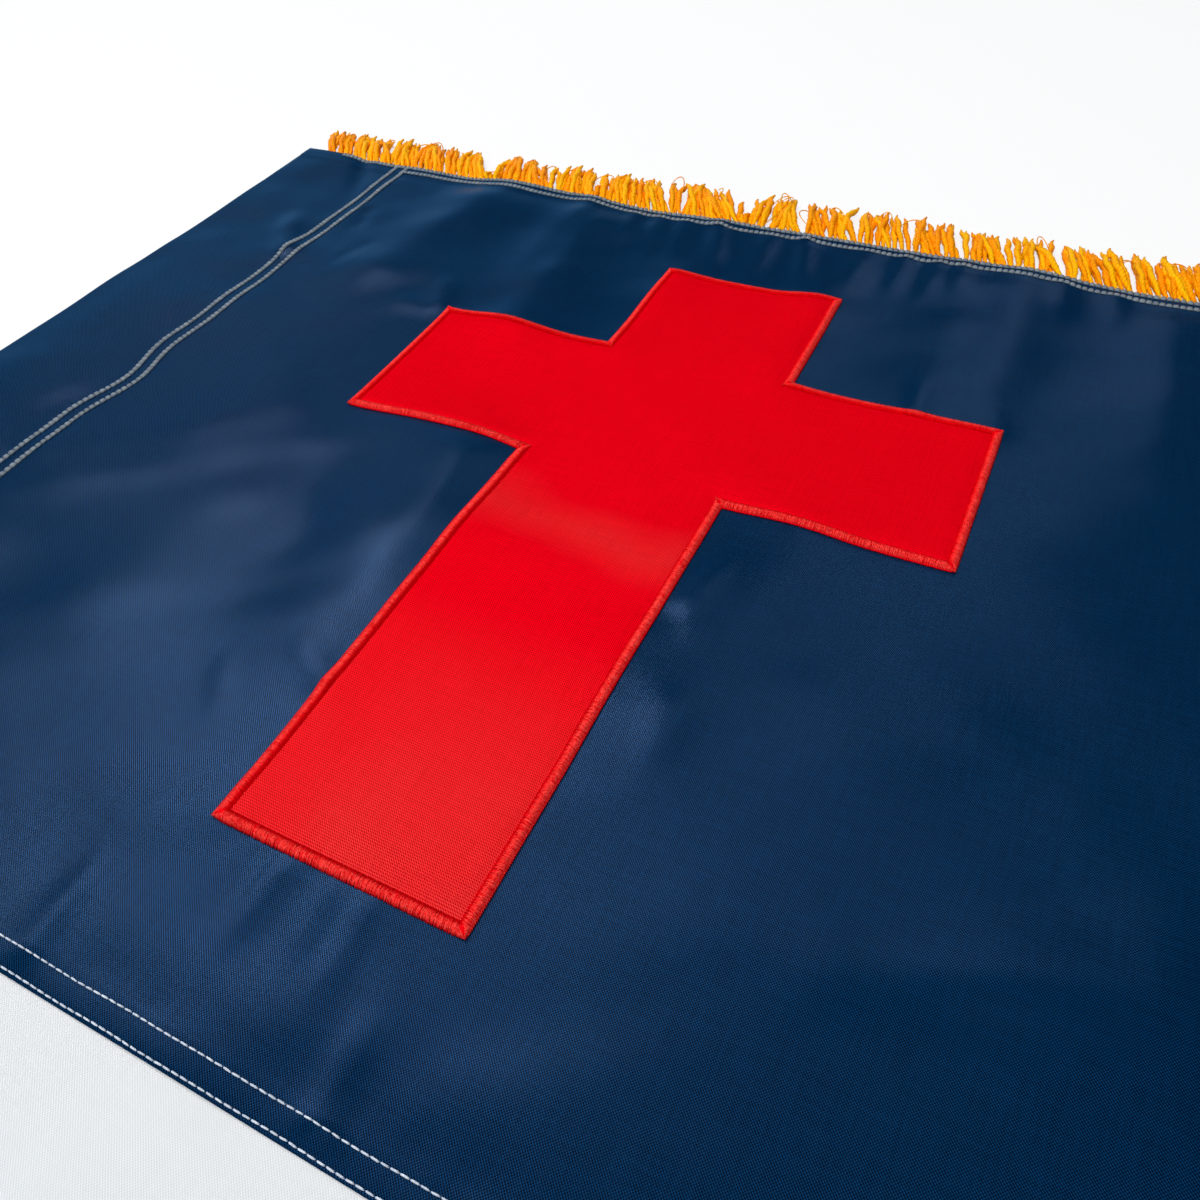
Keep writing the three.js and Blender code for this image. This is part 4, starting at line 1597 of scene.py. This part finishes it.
fringeFly = joined("fringeFly", [
    hangCords("flyCords", [flyLine], plainCords, "plain", 24),
    hangCords("cornerCords", corners, plainCords, "corner", 25),
    hangCords("flyOverCords", [flyLine], plainCords, "farOver", 33),
    hangCords("flyWisps", [flyLine], wisps, "farWisps", 26),
    headingStrip("flyHeading", (farEdge, flyHeadingEnd), (farEdge, lowEdge - flyHeadingEnd), (1, 0)),
])
fringeBottom = joined("fringeBottom", [
    hangCords("lowCords", [lowLine], plainCords, "plain", 27),
    hangCords("lowOverCords", [lowLine], plainCords, "farOver", 34),
    hangCords("lowWisps", [lowLine], wisps, "farWisps", 28),
    headingStrip("lowHeading", (headingTo, lowEdge), (headingFrom, lowEdge), (0, 1)),
])
for spare in (fineCords, overCords, plainCords, wisps):
    putAway(spare)

print("finishes and places in the frame")
for piece, finish in ((canton, blueNylon), (field, whiteNylon), (crossSheet, redCloth)):
    piece.data.materials.append(finish)

shown = {
    canton: ("canton_blue", "blue_nylon"),
    field: ("field_white", "white_nylon"),
    crossSheet: ("cross_red", "red_cloth"),
    padding: (None, "red_cloth"),
    satinBorder: (None, "red_cloth"),
    fringeTop: ("fringe_top", "gold_fringe"),
    fringeFly: ("fringe_fly", "gold_fringe"),
    fringeBottom: ("fringe_bottom", "gold_fringe"),
    cantonSleeveStitches: (None, "white_nylon"),
    cantonTopStitches: (None, "white_nylon"),
    seamStitches: (None, "white_nylon"),
    fieldSleeveStitches: (None, "white_nylon"),
    fieldHemStitches: (None, "white_nylon"),
}
for piece, (node, slot) in shown.items():
    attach(piece, "root")
    if node:
        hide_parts(node)

print("floor, camera and lamps")
studio = dict(
    floorSize=30.0,
    floorColor=(0.86, 0.865, 0.87, 1),
    floorRoughness=0.7,
    floorGlow=0.72,    # the share of its own glow that the camera sees
    glowColor=(1.0, 0.99, 0.98, 1),
    glowStrength=1.02,
    backdrop=0.80,     # a blue backdrop, low down on the hoist's side
    backdropHeading=165,
    backdropSides=(45, 63),  # degrees to either side, where it fades into the room
    backdropTop=(23, 31),    # and degrees up
    backdropColor=(0.20, 0.57, 1.0, 1),
    room=0.10,
    seenBackdrop=0.95,
    lens=28.93,
    clipStart=0.01,
    azimuth=29.84,
    elevation=47.52,
    roll=-4.78,
    fromCross=(0.1369, -0.3015, 0.2509),
)

# name, place from the cross, width, height, power, colour
lamps = [
    ("window", (-1.13, 0.60, 1.54), 0.62, 0.46, 10.8, (1, 0.96, 0.93)),
    ("tallWindow", (-0.82, 0.25, 1.82), 0.66, 0.66, 5.0, (1, 0.96, 0.93)),
    ("lowWindow", (-1.43, -0.22, 1.16), 0.40, 0.7, 3.3, (1, 0.96, 0.93)),
    ("lowPane", (-1.33, 0.86, 1.03), 0.50, 0.24, 0.38, (1, 0.96, 0.95)),
    ("sideWindow", (0.045, 1.658, 1.118), 0.32, 0.42, 1.3, (0.7, 0.88, 1)),
    ("ceiling", (-0.20, 0.86, 1.79), 1.0, 0.9, 4.6, (1, 0.96, 0.95)),
    ("overhead", (0.3, -1.4, 2.0), 1.8, 1.8, 46.5, (1, 1, 1)),
]

reach = studio["floorSize"] / 2
floorMesh = meshFrom("floor", [
    (-reach, -reach, 0), (reach, -reach, 0), (reach, reach, 0), (-reach, reach, 0),
], [(0, 1, 2, 3)], smooth=False)
floor = newPiece("floor", floorMesh)
floorFinish, floorTree = startFinish("paleTable")
seen = addNode(floorTree, "ShaderNodeLightPath", output="Is Camera Ray")
setSurface(floorTree, addNode(floorTree, "ShaderNodeMixShader", {
    0: addMath(floorTree, "MULTIPLY", seen, studio["floorGlow"]),
    1: addNode(floorTree, "ShaderNodeBsdfPrincipled", {
        "Base Color": studio["floorColor"],
        "Roughness": studio["floorRoughness"],
    }),
    2: addNode(floorTree, "ShaderNodeEmission", {
        "Color": studio["glowColor"],
        "Strength": studio["glowStrength"],
    }),
}))
floorMesh.materials.append(floorFinish)

crossMiddle = Vector((hoistX + cross["centreAlong"], topY - cross["centreDown"], 0))
azimuth, elevation, roll = (math.radians(studio[name]) for name in ("azimuth", "elevation", "roll"))
backwards = Vector((
    math.sin(azimuth) * math.cos(elevation),
    -math.cos(azimuth) * math.cos(elevation),
    math.sin(elevation),
))
rightwards = Vector((math.cos(azimuth), math.sin(azimuth), 0))
upwards = backwards.cross(rightwards)
rolledRight = rightwards * math.cos(roll) + upwards * math.sin(roll)
rolledUp = upwards * math.cos(roll) - rightwards * math.sin(roll)
camera = bpy.data.objects.new("camera", bpy.data.cameras.new("camera"))
camera.data.lens = studio["lens"]
camera.data.clip_start = studio["clipStart"]
camera.matrix_world = Matrix.Translation(crossMiddle + Vector(studio["fromCross"])) @ Matrix((
    rolledRight, rolledUp, backwards,
)).transposed().to_4x4()
bpy.context.scene.collection.objects.link(camera)
bpy.context.scene.camera = camera

for name, offset, width, height, power, tint in lamps:
    lamp = bpy.data.objects.new(name, bpy.data.lights.new(name, "AREA"))
    lamp.data.shape = "RECTANGLE"
    lamp.data.size, lamp.data.size_y = width, height
    lamp.data.energy = power
    lamp.data.color = tint
    lamp.location = crossMiddle + Vector(offset)
    lamp.rotation_mode = "QUATERNION"
    lamp.rotation_quaternion = Vector(offset).to_track_quat("Z", "Y")
    bpy.context.scene.collection.objects.link(lamp)

world = bpy.data.worlds.new("studio")
world.use_nodes = True
worldTree = world.node_tree
heading = addNode(worldTree, "ShaderNodeTexCoord", output="Generated")
turned = math.radians(studio["backdropHeading"])
facing = addNode(worldTree, "ShaderNodeVectorMath", {
    0: heading,
    1: (math.cos(turned), math.sin(turned), 0),
}, "Value", operation="DOT_PRODUCT")
fadeFrom, fadeTo = (math.cos(math.radians(angle)) for angle in studio["backdropSides"])
sideways = mapRange(worldTree, facing, fadeTo, fadeFrom, interpolation_type="SMOOTHSTEP")
raised = addNode(worldTree, "ShaderNodeSeparateXYZ", {0: heading}, 2)
fadeFrom, fadeTo = (math.sin(math.radians(angle)) for angle in studio["backdropTop"])
glowing = mapRange(worldTree, raised, fadeFrom, fadeTo, studio["backdrop"], 0,
                   interpolation_type="SMOOTHSTEP")
looking = addNode(worldTree, "ShaderNodeLightPath", output="Is Camera Ray")
around = addMath(worldTree, "MULTIPLY", sideways, glowing)
strength = addNode(worldTree, "ShaderNodeMix", {
    0: looking,
    2: addMath(worldTree, "ADD", around, studio["room"]),
    3: studio["seenBackdrop"],
}, data_type="FLOAT")
background = worldTree.nodes["Background"]
tint = mixColours(worldTree, looking, studio["backdropColor"], (1, 1, 1, 1))
worldTree.links.new(tint, background.inputs[0])
worldTree.links.new(strength, background.inputs[1])
bpy.context.scene.world = world
bpy.context.scene.view_settings.view_transform = "Standard"
